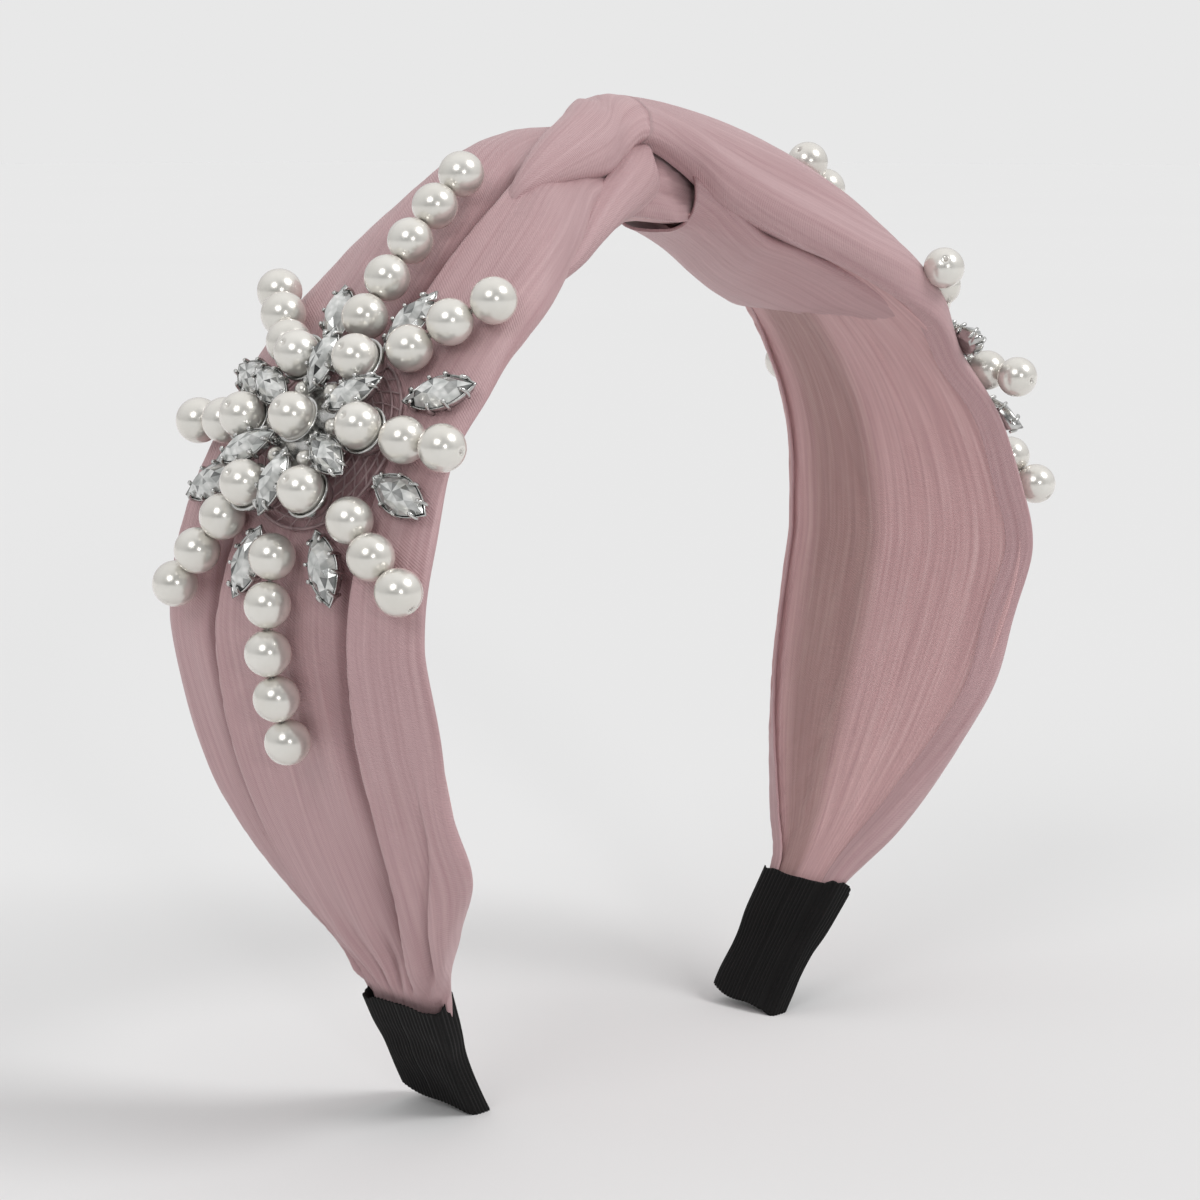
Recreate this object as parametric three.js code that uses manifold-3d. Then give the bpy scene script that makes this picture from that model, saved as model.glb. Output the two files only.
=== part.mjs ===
// Knotted fabric headband with a pearl and crystal applique on each side.
//
// Units are millimetres and +Z is up. The headband stands on its two ribbon-wrapped tips: X runs from the
// left arm (-X) to the right arm (+X), Y runs across the band from its front edge (-Y) to its back edge
// (+Y), and the origin is the bottom centre of the whole object's box.
//
// Every band piece is a loft along one arch, the head side of the band. A place on the band is given by
//   s  the distance along the arch from the crown: negative on the left arm, positive on the right arm,
//   y  the distance across the band from its middle line,
//   n  the height above the arch, away from the head.

import * as THREE from "three";
import { mergeVertices } from "three/addons/utils/BufferGeometryUtils.js";
import Module from "manifold-3d";

const wasm = await Module();
wasm.setup();

// ---- Driving dimensions -----------------------------------------------------------------------------

// The arch: a half ellipse from the crown down to its widest height, then a curve in towards the tips.
const ARCH_HALF_WIDTH = 73.5;
const ARCH_WIDEST_HEIGHT = 82;
const ARCH_CROWN_HEIGHT = 141.5;
const TIP_HALF_GAP = 36;
const LOWER_CURVE_POWER = 1.31;

// The tips stand a little behind the middle line of the wide fabric.
const TIP_SWEEP_BACK = 5;
const SWEEP_LENGTH = 40;

// Layers, as heights above the arch.
const GAP = 0.3;
const LINING_TOP = 0.9;
const CORE_BOTTOM = LINING_TOP + GAP;
const CORE_TOP = CORE_BOTTOM + 1.2;
const COVER_FLOOR = CORE_BOTTOM;
const COVER_OVER_CORE = CORE_TOP + GAP;
const ARM_FABRIC_HEIGHT = 5;
const NECK_FABRIC_HEIGHT = 3.6;
const KNOT_EXTRA_HEIGHT = 14;
const KNOT_FADE = { start: 8, length: 64 };
const NECK_FADE = { start: 140, length: 30 };
const LOWEST_RIM = 1.6;
const RIM_SHARE = 0.4;
const DOME_POWER = 0.8;
const STEEPEST_EDGE = 0.985;
const HEM_THICKNESS = 1.2;

const CORE_HALF_WIDTH = 5.5;
const CORE_SLOT_HALF_WIDTH = CORE_HALF_WIDTH + 0.7;
const CORE_TIP_CLEARANCE = 5;

// The crown body reaches this far from the crown each way; each arm starts just past it.
const CROWN_HALF_LENGTH = 30;
const HINGE_GAP = 1;
const HINGE_HEIGHT = (CORE_BOTTOM + CORE_TOP) / 2;
const OPENING_WEDGE = Math.tan(THREE.MathUtils.degToRad(13.5));
const KNOT_HALF_WIDTH_AT_CROWN = 10.5;
const KNOT_HALF_WIDTH_AT_ARM = 14.5;
const UPPER_LOOP_WIDTH_SHARE = 0.86;
const LAP_SHARE = 0.5;
const LOOP_ROUNDING = 1.5;

// The ribbon wraps the last stretch of each arm, over the gathered neck of the fabric.
const RIBBON_LENGTH = 25;
const NECK_LENGTH = 5;
const NECK_HALF_WIDTH = 7.6;
const RIBBON_WALL = 0.8;
const RIBBON_CORNER = 0.8;
const RIBBON_TIP_HALF_WIDTH = 7.6;
// How much higher the ribbon's underside, and lower its top, is at the tip than at its mouth.
const RIBBON_TAPER = { bottom: 0.3, top: 1 };
const RIBBON_RUNS_PAST = 6;

// Half widths of each fabric edge, as [distance from the crown, half width].
const FABRIC_EDGES = {
  left: {
    front: [[31, 17], [46, 26], [60, 27], [85, 27.5], [111, 28.5], [143, 23.5], [160, 13.5], [169, 7.6]],
    back: [[31, 14], [46, 20], [60, 23], [85, 24.5], [111, 27], [136, 26], [156, 17], [169, 7.6]],
  },
  right: {
    front: [[31, 13], [46, 17], [60, 21], [85, 26], [106, 28.5], [138, 23], [158, 13], [169, 7.6]],
    back: [[31, 14], [46, 18], [60, 21], [85, 24.5], [106, 27], [134, 23.5], [156, 15], [169, 7.6]],
  },
};

// The middle of each applique. Its layout is in rings round that middle.
const APPLIQUE_MIDDLE = {
  left: { distance: 77.5, y: -3.2 },
  right: { distance: 75.5, y: -1.5 },
};
const PEARL_RADIUS = 3.5;
const PEARL_PITCH = 7.05;
const THREAD_RADIUS = 0.6;
// The rays of pearls, with the angle of each from the crown's side round towards the front edge.
const PEARL_RAYS = [
  { pearls: 5, degrees: 2 },
  { pearls: 3, degrees: 41 },
  { pearls: 2, degrees: 91 },
  { pearls: 3, degrees: 132 },
  { pearls: 5, degrees: 180 },
  { pearls: 3, degrees: 221 },
  { pearls: 2, degrees: 270 },
  { pearls: 3, degrees: 317 },
];
const FIRST_PEARL_DISTANCE = 18.6;
const NET_RADIUS = 14.2;
const NET_THICKNESS = 0.8;
const SEWN_GAP = 0.4;
const OUTER_CRYSTAL = { distance: 21.1, length: 11.8, width: 5.6, height: 3.4 };
const INNER_CRYSTAL = { distance: 9.9, length: 11, width: 4.8, height: 3, lift: 3.3 };
// The raised flower: six arms that each end in a pearl's cup, with a seed pearl on a post on each arm.
const FLOWER = {
  plateRadius: 8.2,
  plateThickness: 1,
  ringDistance: 12.3,
  ringPearlHeight: 4.4,
  cupRadius: 2.4,
  cupHeight: 2,
  armWidth: 1.6,
  centrePearlHeight: 6,
  centreCupRadius: 2.2,
  centreCupHeight: 3.4,
  seedDistance: 6.2,
  seedRadius: 1.3,
  seedHeight: 3.2,
  postRadius: 0.7,
};

// ---- Materials --------------------------------------------------------------------------------------

const material = (color, roughness, metalness = 0) =>
  new THREE.MeshStandardMaterial({ color, roughness, metalness });

const MATERIALS = {
  satin: material(0xc9a7aa, 0.6),
  lining: material(0xa5807e, 0.7),
  ribbon: material(0x1b1a1a, 0.85),
  steel: material(0xb8b9bb, 0.35, 1),
  net: material(0xd8cfc8, 0.9),
  pearl: material(0xeceae2, 0.18),
  crystal: material(0xe8ecf0, 0.05, 0.2),
};

// ---- The arch and the fabric surface ----------------------------------------------------------------

const clamp01 = (t) => Math.min(1, Math.max(0, t));

// A smooth step from 0 to 1 as t goes from 0 to 1.
function smooth(t) {
  const c = clamp01(t);
  return c * c * (3 - 2 * c);
}

// Points of the right half of the arch from the crown to the tip, with the distance along it.
const ARCH = (() => {
  const steps = 400;
  const crownRise = ARCH_CROWN_HEIGHT - ARCH_WIDEST_HEIGHT;
  const points = [];
  for (let i = 0; i <= steps; i++) {
    const angle = (Math.PI / 2) * (1 - i / steps);
    points.push({ x: ARCH_HALF_WIDTH * Math.cos(angle), z: ARCH_WIDEST_HEIGHT + crownRise * Math.sin(angle) });
  }
  for (let i = 1; i <= steps; i++) {
    const drop = i / steps;
    const inward = (ARCH_HALF_WIDTH - TIP_HALF_GAP) * drop ** LOWER_CURVE_POWER;
    points.push({ x: ARCH_HALF_WIDTH - inward, z: ARCH_WIDEST_HEIGHT * (1 - drop) });
  }
  points[0].s = 0;
  for (let i = 1; i < points.length; i++) {
    const [a, b] = [points[i - 1], points[i]];
    b.s = a.s + Math.hypot(b.x - a.x, b.z - a.z);
  }
  return points;
})();
const ARCH_LENGTH = ARCH[ARCH.length - 1].s;
const NECK_START = ARCH_LENGTH - RIBBON_LENGTH - 1;
const NECK_END = ARCH_LENGTH - RIBBON_LENGTH + NECK_LENGTH;
const CORE_END = ARCH_LENGTH - CORE_TIP_CLEARANCE;

// Linear interpolation of one field of the arch's points; it runs straight on past the tip.
function archValue(distance, field) {
  let i = ARCH.findIndex((point) => point.s > distance);
  if (i < 1) i = ARCH.length - 1;
  const [a, b] = [ARCH[i - 1], ARCH[i]];
  return a[field] + ((b[field] - a[field]) * (distance - a.s)) / (b.s - a.s);
}

const archPoint = (distance) => new THREE.Vector3(archValue(distance, "x"), 0, archValue(distance, "z"));

// How far the band's middle line lies behind y = 0 at a distance from the crown.
const sweep = (distance) => TIP_SWEEP_BACK * smooth((distance - (ARCH_LENGTH - SWEEP_LENGTH)) / SWEEP_LENGTH);

// The place (s, y, n) in X, Y and Z; lean slides a point along the band, in proportion to its height
// above the hinge line.
function place(s, y, n, lean = 0) {
  const distance = Math.abs(s);
  const step = 0.5;
  const along = archPoint(distance + step).sub(archPoint(Math.max(0, distance - step)));
  if (distance < step) along.set(1, 0, 0);
  along.normalize();
  const outward = new THREE.Vector3(-along.z, 0, along.x);
  const point = archPoint(distance)
    .addScaledVector(outward, n)
    .addScaledVector(along, lean * Math.max(0, n - HINGE_HEIGHT));
  return new THREE.Vector3(s < 0 ? -point.x : point.x, y + sweep(distance), point.z);
}

// A smooth curve through [distance, value] pairs: cubic pieces with slopes taken from the neighbours.
function through(pairs, distance) {
  const last = pairs.length - 1;
  const slope = (i) => {
    const [a, b] = [pairs[Math.max(0, i - 1)], pairs[Math.min(last, i + 1)]];
    return (b[1] - a[1]) / (b[0] - a[0]);
  };
  const d = Math.min(pairs[last][0], Math.max(pairs[0][0], distance));
  let i = pairs.findIndex((pair) => pair[0] > d) - 1;
  if (i < 0) i = last - 1;
  const [[d0, v0], [d1, v1]] = [pairs[i], pairs[i + 1]];
  const [h, t] = [d1 - d0, (d - d0) / (d1 - d0)];
  return (
    v0 * (1 + 2 * t) * (1 - t) ** 2 +
    slope(i) * h * t * (1 - t) ** 2 +
    v1 * t * t * (3 - 2 * t) +
    slope(i + 1) * h * t * t * (t - 1)
  );
}

// The crest of the fabric above the arch: full over the knot, thin along the arm, thinner at the neck.
function crestHeight(distance) {
  const towardsArm = smooth((distance - KNOT_FADE.start) / KNOT_FADE.length);
  const towardsNeck = smooth((distance - NECK_FADE.start) / NECK_FADE.length);
  const thinning = (ARM_FABRIC_HEIGHT - NECK_FABRIC_HEIGHT) * towardsNeck;
  return ARM_FABRIC_HEIGHT + KNOT_EXTRA_HEIGHT * (1 - towardsArm) - thinning;
}

const knotHalfWidth = (distance) =>
  THREE.MathUtils.lerp(KNOT_HALF_WIDTH_AT_CROWN, KNOT_HALF_WIDTH_AT_ARM, smooth(distance / CROWN_HALF_LENGTH));

// The rim of the fabric's dome: low along the arm, higher where the fabric bunches towards the knot.
const rimHeight = (distance) => Math.max(LOWEST_RIM, RIM_SHARE * crestHeight(distance));

// The outside of the fabric across one station, as [y, n] at an angle from 0 (front rim) to PI (back rim).
function domePoint(distance, front, back, angle) {
  const rim = rimHeight(distance);
  const half = angle < Math.PI / 2 ? front : back;
  const rise = Math.max(0, Math.sin(angle)) ** DOME_POWER;
  return [-half * Math.cos(angle), rim + (crestHeight(distance) - rim) * rise];
}

// A point of the fabric's outside on an arm, at a distance from the crown and across the band.
function fabricPoint(side, distance, y) {
  const half = through(FABRIC_EDGES[side][y < 0 ? "front" : "back"], distance);
  const cosine = THREE.MathUtils.clamp(-y / half, -STEEPEST_EDGE, STEEPEST_EDGE);
  const [, n] = domePoint(distance, half, half, Math.acos(cosine));
  return place(distance, y, n);
}

// ---- Solid helpers ----------------------------------------------------------------------------------

function signedVolume(positions, triangles) {
  const corner = (i) => new THREE.Vector3().fromArray(positions, 3 * i);
  let sum = 0;
  for (let i = 0; i < triangles.length; i += 3) {
    const [a, b, c] = [corner(triangles[i]), corner(triangles[i + 1]), corner(triangles[i + 2])];
    sum += a.dot(b.cross(c));
  }
  return sum / 6;
}

// A closed solid through rings of points that all run the same way round, with flat ends.
function loft(rings, outline) {
  const count = rings[0].length;
  const positions = rings.flat().flatMap((p) => p.toArray());
  const triangles = [];
  for (let r = 0; r + 1 < rings.length; r++) {
    for (let i = 0; i < count; i++) {
      const [a, b] = [r * count + i, r * count + ((i + 1) % count)];
      triangles.push(a, b, b + count, a, b + count, a + count);
    }
  }
  const end = (rings.length - 1) * count;
  const flat = outline.map(([y, n]) => new THREE.Vector2(y, n));
  for (const [a, b, c] of THREE.ShapeUtils.triangulateShape(flat, [])) {
    triangles.push(a, c, b);
    triangles.push(end + a, end + b, end + c);
  }
  if (THREE.ShapeUtils.area(flat) < 0) {
    // The ear clipper turns a clockwise outline round, so its triangles are turned back.
    const walls = 6 * count * (rings.length - 1);
    for (let i = walls; i < triangles.length; i += 3) {
      [triangles[i + 1], triangles[i + 2]] = [triangles[i + 2], triangles[i + 1]];
    }
  }
  if (signedVolume(positions, triangles) < 0) triangles.reverse();
  const geometry = new THREE.BufferGeometry();
  geometry.setAttribute("position", new THREE.Float32BufferAttribute(positions, 3));
  geometry.setIndex(triangles);
  return geometry;
}

// A loft along the arch. Each station gives its s, its outline as [y, n] pairs, and its lean.
function bandLoft(stations) {
  const rings = stations.map(({ s, outline, lean = 0 }) => outline.map(([y, n]) => place(s, y, n, lean)));
  return loft(rings, stations[0].outline);
}

// Evenly spaced values from first to last.
const spread = (first, last, steps) =>
  Array.from({ length: steps + 1 }, (_, i) => first + ((last - first) * i) / steps);

// Every band piece uses these stations, so that neighbouring layers bend at the same places.
const CROWN_STATIONS = spread(-CROWN_HALF_LENGTH, CROWN_HALF_LENGTH, 12);
const armStations = (last) => [...spread(CROWN_HALF_LENGTH + HINGE_GAP, NECK_START, 20), last];

function toManifold(geometry) {
  const bare = geometry.clone();
  bare.deleteAttribute("normal");
  bare.deleteAttribute("uv");
  const merged = mergeVertices(bare, 1e-4);
  return new wasm.Manifold(
    new wasm.Mesh({
      numProp: 3,
      vertProperties: merged.attributes.position.array,
      triVerts: new Uint32Array(merged.index.array),
    }),
  );
}

function toGeometry(manifold) {
  const mesh = manifold.getMesh();
  const geometry = new THREE.BufferGeometry();
  geometry.setAttribute("position", new THREE.BufferAttribute(mesh.vertProperties, 3));
  geometry.setIndex(new THREE.BufferAttribute(mesh.triVerts, 1));
  return geometry;
}

const join = (geometries) => toGeometry(geometries.map(toManifold).reduce((a, b) => a.add(b)));
const cut = (solid, ...tools) =>
  toGeometry(tools.map(toManifold).reduce((a, b) => a.subtract(b), toManifold(solid)));

function named(name, geometry, materialName) {
  const mesh = new THREE.Mesh(geometry, MATERIALS[materialName].clone());
  mesh.name = name;
  return mesh;
}

// ---- Spring core ------------------------------------------------------------------------------------

const slab = (halfWidth, bottom, top) => [
  [-halfWidth, bottom],
  [halfWidth, bottom],
  [halfWidth, top],
  [-halfWidth, top],
];

// The flat steel spring, one strip in life, here in three lengths so that each arm can flex.
function core(stations) {
  const outline = slab(CORE_HALF_WIDTH, CORE_BOTTOM, CORE_TOP);
  return bandLoft(stations.map((s) => ({ s, outline })));
}

// ---- Lining -----------------------------------------------------------------------------------------

function lining(stations, widthsAt) {
  return bandLoft(
    stations.map((s) => {
      const [front, back] = widthsAt(Math.abs(s)).map((width) => width - HEM_THICKNESS - GAP);
      return { s, outline: [[-front, 0], [back, 0], [back, LINING_TOP], [-front, LINING_TOP]] };
    }),
  );
}

const armWidths = (side) => (distance) => [
  through(FABRIC_EDGES[side].front, distance),
  through(FABRIC_EDGES[side].back, distance),
];

const knotWidths = (distance) => [knotHalfWidth(distance), knotHalfWidth(distance)];

// ---- Satin cover of an arm --------------------------------------------------------------------------

// The head side of a cover: a hem folded over each edge, and a slot over the spring core.
const underside = (front, back) => [
  [back - HEM_THICKNESS / 2, 0],
  [back - HEM_THICKNESS, 0],
  [back - HEM_THICKNESS, COVER_FLOOR],
  [CORE_SLOT_HALF_WIDTH, COVER_FLOOR],
  [CORE_SLOT_HALF_WIDTH, COVER_OVER_CORE],
  [-CORE_SLOT_HALF_WIDTH, COVER_OVER_CORE],
  [-CORE_SLOT_HALF_WIDTH, COVER_FLOOR],
  [-(front - HEM_THICKNESS), COVER_FLOOR],
  [-(front - HEM_THICKNESS), 0],
  [-(front - HEM_THICKNESS / 2), 0],
];

function cover(side) {
  const sign = side === "left" ? -1 : 1;
  return bandLoft(
    armStations(NECK_END).map((distance, i) => {
      const [front, back] = armWidths(side)(distance);
      const dome = spread(0, Math.PI, 12).map((angle) => domePoint(distance, front, back, angle));
      return {
        s: sign * distance,
        outline: [...dome, ...underside(front, back)],
        lean: i === 0 ? OPENING_WEDGE : 0,
      };
    }),
  );
}

// ---- Knot: the two strips that lap over each other at the crown -------------------------------------

// The level at which the right strip's loop lies on the left strip's loop.
const lapLevel = (distance) => THREE.MathUtils.lerp(COVER_OVER_CORE, crestHeight(distance), LAP_SHARE);

function leftLoop() {
  return bandLoft(
    CROWN_STATIONS.map((s) => {
      const half = knotHalfWidth(Math.abs(s));
      const top = lapLevel(Math.abs(s));
      const wall = (y) => [[y, LOOP_ROUNDING], [y, top - LOOP_ROUNDING]];
      const shoulders = [[LOOP_ROUNDING - half, top], [half - LOOP_ROUNDING, top]];
      return { s, outline: [...wall(-half), ...shoulders, ...wall(half).reverse(), ...underside(half, half)] };
    }),
  );
}

function rightLoop() {
  return bandLoft(
    CROWN_STATIONS.map((s) => {
      const distance = Math.abs(s);
      const half = UPPER_LOOP_WIDTH_SHARE * knotHalfWidth(distance);
      const bottom = lapLevel(distance) + GAP;
      const rise = crestHeight(distance) - bottom - LOOP_ROUNDING;
      const dome = spread(0, Math.PI, 10).map((angle) => [
        -half * Math.cos(angle),
        bottom + LOOP_ROUNDING + rise * Math.max(0, Math.sin(angle)) ** DOME_POWER,
      ]);
      return { s, outline: [...dome, [half - LOOP_ROUNDING, bottom], [LOOP_ROUNDING - half, bottom]] };
    }),
  );
}

// ---- Ribbon-wrapped tip -----------------------------------------------------------------------------

// A closed sleeve: it holds the fabric's neck and the end of the core, and its end is cut flat at z = 0.
function ribbon(side) {
  const sign = side === "left" ? -1 : 1;
  const mouth = ARCH_LENGTH - RIBBON_LENGTH;
  const mouthHalf = NECK_HALF_WIDTH + GAP + RIBBON_WALL;
  const outside = spread(mouth, ARCH_LENGTH + RIBBON_RUNS_PAST, 6).map((distance) => {
    const t = clamp01((distance - mouth) / RIBBON_LENGTH);
    const half = THREE.MathUtils.lerp(mouthHalf, RIBBON_TIP_HALF_WIDTH, t);
    const bottom = -GAP - RIBBON_WALL + RIBBON_TAPER.bottom * t;
    const top = NECK_FABRIC_HEIGHT + GAP + RIBBON_WALL - RIBBON_TAPER.top * t;
    const corner = RIBBON_CORNER;
    const outline = [
      [-half + corner, bottom],
      [half - corner, bottom],
      [half, bottom + corner],
      [half, top - corner],
      [half - corner, top],
      [corner - half, top],
      [-half, top - corner],
      [-half, bottom + corner],
    ];
    return { s: sign * distance, outline };
  });
  const neckPocket = spread(mouth - 1, NECK_END + GAP, 2).map((distance) => ({
    s: sign * distance,
    outline: slab(NECK_HALF_WIDTH + GAP, -GAP, NECK_FABRIC_HEIGHT + GAP),
  }));
  const corePocket = spread(mouth, CORE_END + GAP, 4).map((distance) => ({
    s: sign * distance,
    outline: slab(CORE_HALF_WIDTH + GAP, CORE_BOTTOM - GAP, CORE_TOP + GAP),
  }));
  const depth = 20;
  const floor = new THREE.BoxGeometry(100, 60, depth).translate(sign * TIP_HALF_GAP, TIP_SWEEP_BACK, -depth / 2);
  return cut(bandLoft(outside), bandLoft(neckPocket), bandLoft(corePocket), floor);
}

// ---- Applique ---------------------------------------------------------------------------------------

// The applique's own map of the fabric: a runs towards the tip along the outside of the fabric, b runs
// across the band. It gives the point and a frame of (towards tip, towards back, outward).
function appliqueMap(side) {
  const crest = spread(0, ARCH_LENGTH, 400).map((distance) => ({
    distance,
    point: place(distance, 0, crestHeight(distance)),
  }));
  crest[0].length = 0;
  for (let i = 1; i < crest.length; i++) {
    crest[i].length = crest[i - 1].length + crest[i].point.distanceTo(crest[i - 1].point);
  }
  const atDistance = (distance) => crest.find((c) => c.distance >= distance).length;
  const middle = APPLIQUE_MIDDLE[side];
  const origin = atDistance(middle.distance);
  const distanceAt = (a) => {
    const i = crest.findIndex((c) => c.length >= origin + a);
    const [p, q] = [crest[i - 1], crest[i]];
    return p.distance + ((q.distance - p.distance) * (origin + a - p.length)) / (q.length - p.length);
  };
  const surface = (a, b) => fabricPoint(side, distanceAt(a), middle.y + b);
  return (a, b) => {
    const step = 0.4;
    const point = surface(a, b);
    const along = surface(a + step, b).sub(surface(a - step, b)).normalize();
    const across = surface(a, b + step).sub(surface(a, b - step));
    const outward = along.clone().cross(across).normalize();
    return { point, along, across: outward.clone().cross(along), outward };
  };
}

// Puts a geometry made in (towards tip, towards back, outward) coordinates on the fabric, turned by an
// angle in the fabric's plane and lifted off it.
function onFabric(geometry, frame, angle, lift) {
  const matrix = new THREE.Matrix4().makeBasis(frame.along, frame.across, frame.outward);
  matrix.setPosition(frame.point.clone().addScaledVector(frame.outward, lift));
  return geometry.applyMatrix4(matrix.multiply(new THREE.Matrix4().makeRotationZ(angle)));
}

const pearl = (radius = PEARL_RADIUS) => new THREE.SphereGeometry(radius, 8, 6);

function threadBetween(from, to) {
  const geometry = new THREE.CylinderGeometry(THREAD_RADIUS, THREAD_RADIUS, from.distanceTo(to), 5);
  const turn = new THREE.Quaternion().setFromUnitVectors(
    new THREE.Vector3(0, 1, 0),
    to.clone().sub(from).normalize(),
  );
  return geometry.applyQuaternion(turn).translate(...from.clone().add(to).multiplyScalar(0.5).toArray());
}

// One ray: pearls in a row on their thread, lying on the fabric a pearl's pitch apart.
function pearlRay(map, angle, count) {
  const [cos, sin] = [Math.cos(angle), Math.sin(angle)];
  const centreAt = (distance) => {
    const frame = map(distance * cos, distance * sin);
    return frame.point.addScaledVector(frame.outward, PEARL_RADIUS + SEWN_GAP);
  };
  let distance = FIRST_PEARL_DISTANCE;
  const centres = [centreAt(distance)];
  while (centres.length < count) {
    const previous = centres[centres.length - 1];
    while (centreAt(distance).distanceTo(previous) < PEARL_PITCH) distance += 0.02;
    centres.push(centreAt(distance));
  }
  const pearls = centres.map((centre) => pearl().translate(...centre.toArray()));
  const threads = centres.slice(1).map((centre, i) => threadBetween(centres[i], centre));
  return join([...pearls, ...threads]);
}

// A marquise stone in its claw setting: pointed ends along X, a flat back and a raised table.
function marquise({ length, width, height }) {
  const levels = [
    [0, 0.62],
    [0.42, 0.98],
    [0.56, 1],
    [1, 0.5],
  ];
  const outlineAt = (scale) =>
    [...spread(-1, 1, 4), ...spread(1, -1, 4).slice(1, -1)].map((t, i) => {
      const bulge = (1 - t * t) * (i < 5 ? -1 : 1);
      return [(scale * t * length) / 2, (scale * bulge * width) / 2];
    });
  const rings = levels.map(([level, scale]) =>
    outlineAt(scale).map(([x, y]) => new THREE.Vector3(x, y, level * height)),
  );
  return loft(rings, outlineAt(1));
}

// The round net that the flower is sewn through, lying on the fabric.
function netDisc(map) {
  const [circles, sectors] = [3, 16];
  const at = (radius, angle, lift) => {
    const frame = map(radius * Math.cos(angle), radius * Math.sin(angle));
    return frame.point.addScaledVector(frame.outward, lift);
  };
  const angles = spread(0, 2 * Math.PI, sectors).slice(0, -1);
  const sheet = (lift) => [
    at(0, 0, lift),
    ...spread(0, NET_RADIUS, circles).slice(1).flatMap((radius) => angles.map((angle) => at(radius, angle, lift))),
  ];
  const points = [...sheet(SEWN_GAP), ...sheet(SEWN_GAP + NET_THICKNESS)];
  const half = points.length / 2;
  const index = (circle, sector) => (circle === 0 ? 0 : 1 + (circle - 1) * sectors + (sector % sectors));
  const triangles = [];
  for (let sector = 0; sector < sectors; sector++) {
    for (let circle = 0; circle < circles; circle++) {
      const [a, b] = [index(circle, sector), index(circle, sector + 1)];
      const [c, d] = [index(circle + 1, sector), index(circle + 1, sector + 1)];
      triangles.push(a, d, c, half + a, half + c, half + d);
      if (circle > 0) triangles.push(a, b, d, half + a, half + d, half + b);
    }
    const [a, b] = [index(circles, sector), index(circles, sector + 1)];
    triangles.push(a, b, half + b, a, half + b, half + a);
  }
  const positions = points.flatMap((p) => p.toArray());
  if (signedVolume(positions, triangles) < 0) triangles.reverse();
  const geometry = new THREE.BufferGeometry();
  geometry.setAttribute("position", new THREE.Float32BufferAttribute(positions, 3));
  geometry.setIndex(triangles);
  return geometry;
}

// The raised flower: a silver plate with arms and cups, its ring pearls, its centre pearl and its seeds.
function flower() {
  const f = FLOWER;
  const upright = (radius, height, sides) =>
    new THREE.CylinderGeometry(radius, radius, height, sides).rotateX(Math.PI / 2).translate(0, 0, height / 2);
  const pieces = [
    upright(f.plateRadius, f.plateThickness, 16),
    upright(f.centreCupRadius, f.centreCupHeight, 8),
    pearl().translate(0, 0, f.centrePearlHeight),
  ];
  for (let i = 0; i < 6; i++) {
    const angle = Math.PI / 6 + (i * Math.PI) / 3;
    const spoke = [
      new THREE.BoxGeometry(f.ringDistance, f.armWidth, f.plateThickness).translate(
        f.ringDistance / 2,
        0,
        f.plateThickness / 2,
      ),
      upright(f.cupRadius, f.cupHeight, 8).translate(f.ringDistance, 0, 0),
      pearl().translate(f.ringDistance, 0, f.ringPearlHeight),
      upright(f.postRadius, f.seedHeight, 6).translate(f.seedDistance, 0, 0),
      new THREE.SphereGeometry(f.seedRadius, 6, 4).translate(f.seedDistance, 0, f.seedHeight),
    ];
    pieces.push(...spoke.map((geometry) => geometry.rotateZ(angle)));
  }
  return join(pieces);
}

function applique(side) {
  const map = appliqueMap(side);
  const middle = map(0, 0);
  const flowerLift = SEWN_GAP + NET_THICKNESS + GAP;
  const meshes = [
    named(`${side}_net_disc`, netDisc(map), "net"),
    named(`${side}_flower`, onFabric(flower(), middle, 0, flowerLift), "pearl"),
  ];
  const rayAngles = PEARL_RAYS.map(({ degrees }) => Math.PI + THREE.MathUtils.degToRad(degrees));
  PEARL_RAYS.forEach(({ pearls }, i) => {
    meshes.push(named(`${side}_pearl_ray_${i + 1}`, pearlRay(map, rayAngles[i], pearls), "pearl"));
    const nextAngle = i + 1 < rayAngles.length ? rayAngles[i + 1] : rayAngles[0] + 2 * Math.PI;
    const angle = (rayAngles[i] + nextAngle) / 2;
    const spot = map(OUTER_CRYSTAL.distance * Math.cos(angle), OUTER_CRYSTAL.distance * Math.sin(angle));
    const stone = onFabric(marquise(OUTER_CRYSTAL), spot, angle, SEWN_GAP);
    meshes.push(named(`${side}_outer_crystal_${i + 1}`, stone, "crystal"));
  });
  for (let i = 0; i < 6; i++) {
    const angle = Math.PI + (i * Math.PI) / 3;
    const stone = marquise(INNER_CRYSTAL)
      .translate(INNER_CRYSTAL.distance, 0, INNER_CRYSTAL.lift)
      .rotateZ(angle);
    meshes.push(named(`${side}_inner_crystal_${i + 1}`, onFabric(stone, middle, 0, flowerLift), "crystal"));
  }
  const group = new THREE.Group();
  group.add(...meshes);
  if (side === "left") group.scale.x = -1;
  return group;
}

// ---- Assembly ---------------------------------------------------------------------------------------

const group = new THREE.Group();
group.add(
  named("core_crown", core(CROWN_STATIONS), "steel"),
  named("lining_crown", lining(CROWN_STATIONS, knotWidths), "lining"),
  named("knot_left_loop", leftLoop(), "satin"),
  named("knot_right_loop", rightLoop(), "satin"),
);
for (const [side, sign] of [["left", -1], ["right", 1]]) {
  const signed = (last) => armStations(last).map((distance) => sign * distance);
  group.add(
    named(`core_${side}`, core(signed(CORE_END)), "steel"),
    named(`lining_${side}`, lining(signed(NECK_END), armWidths(side)), "lining"),
    named(`cover_${side}`, cover(side), "satin"),
    named(`ribbon_${side}`, ribbon(side), "ribbon"),
    applique(side),
  );
}

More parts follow.
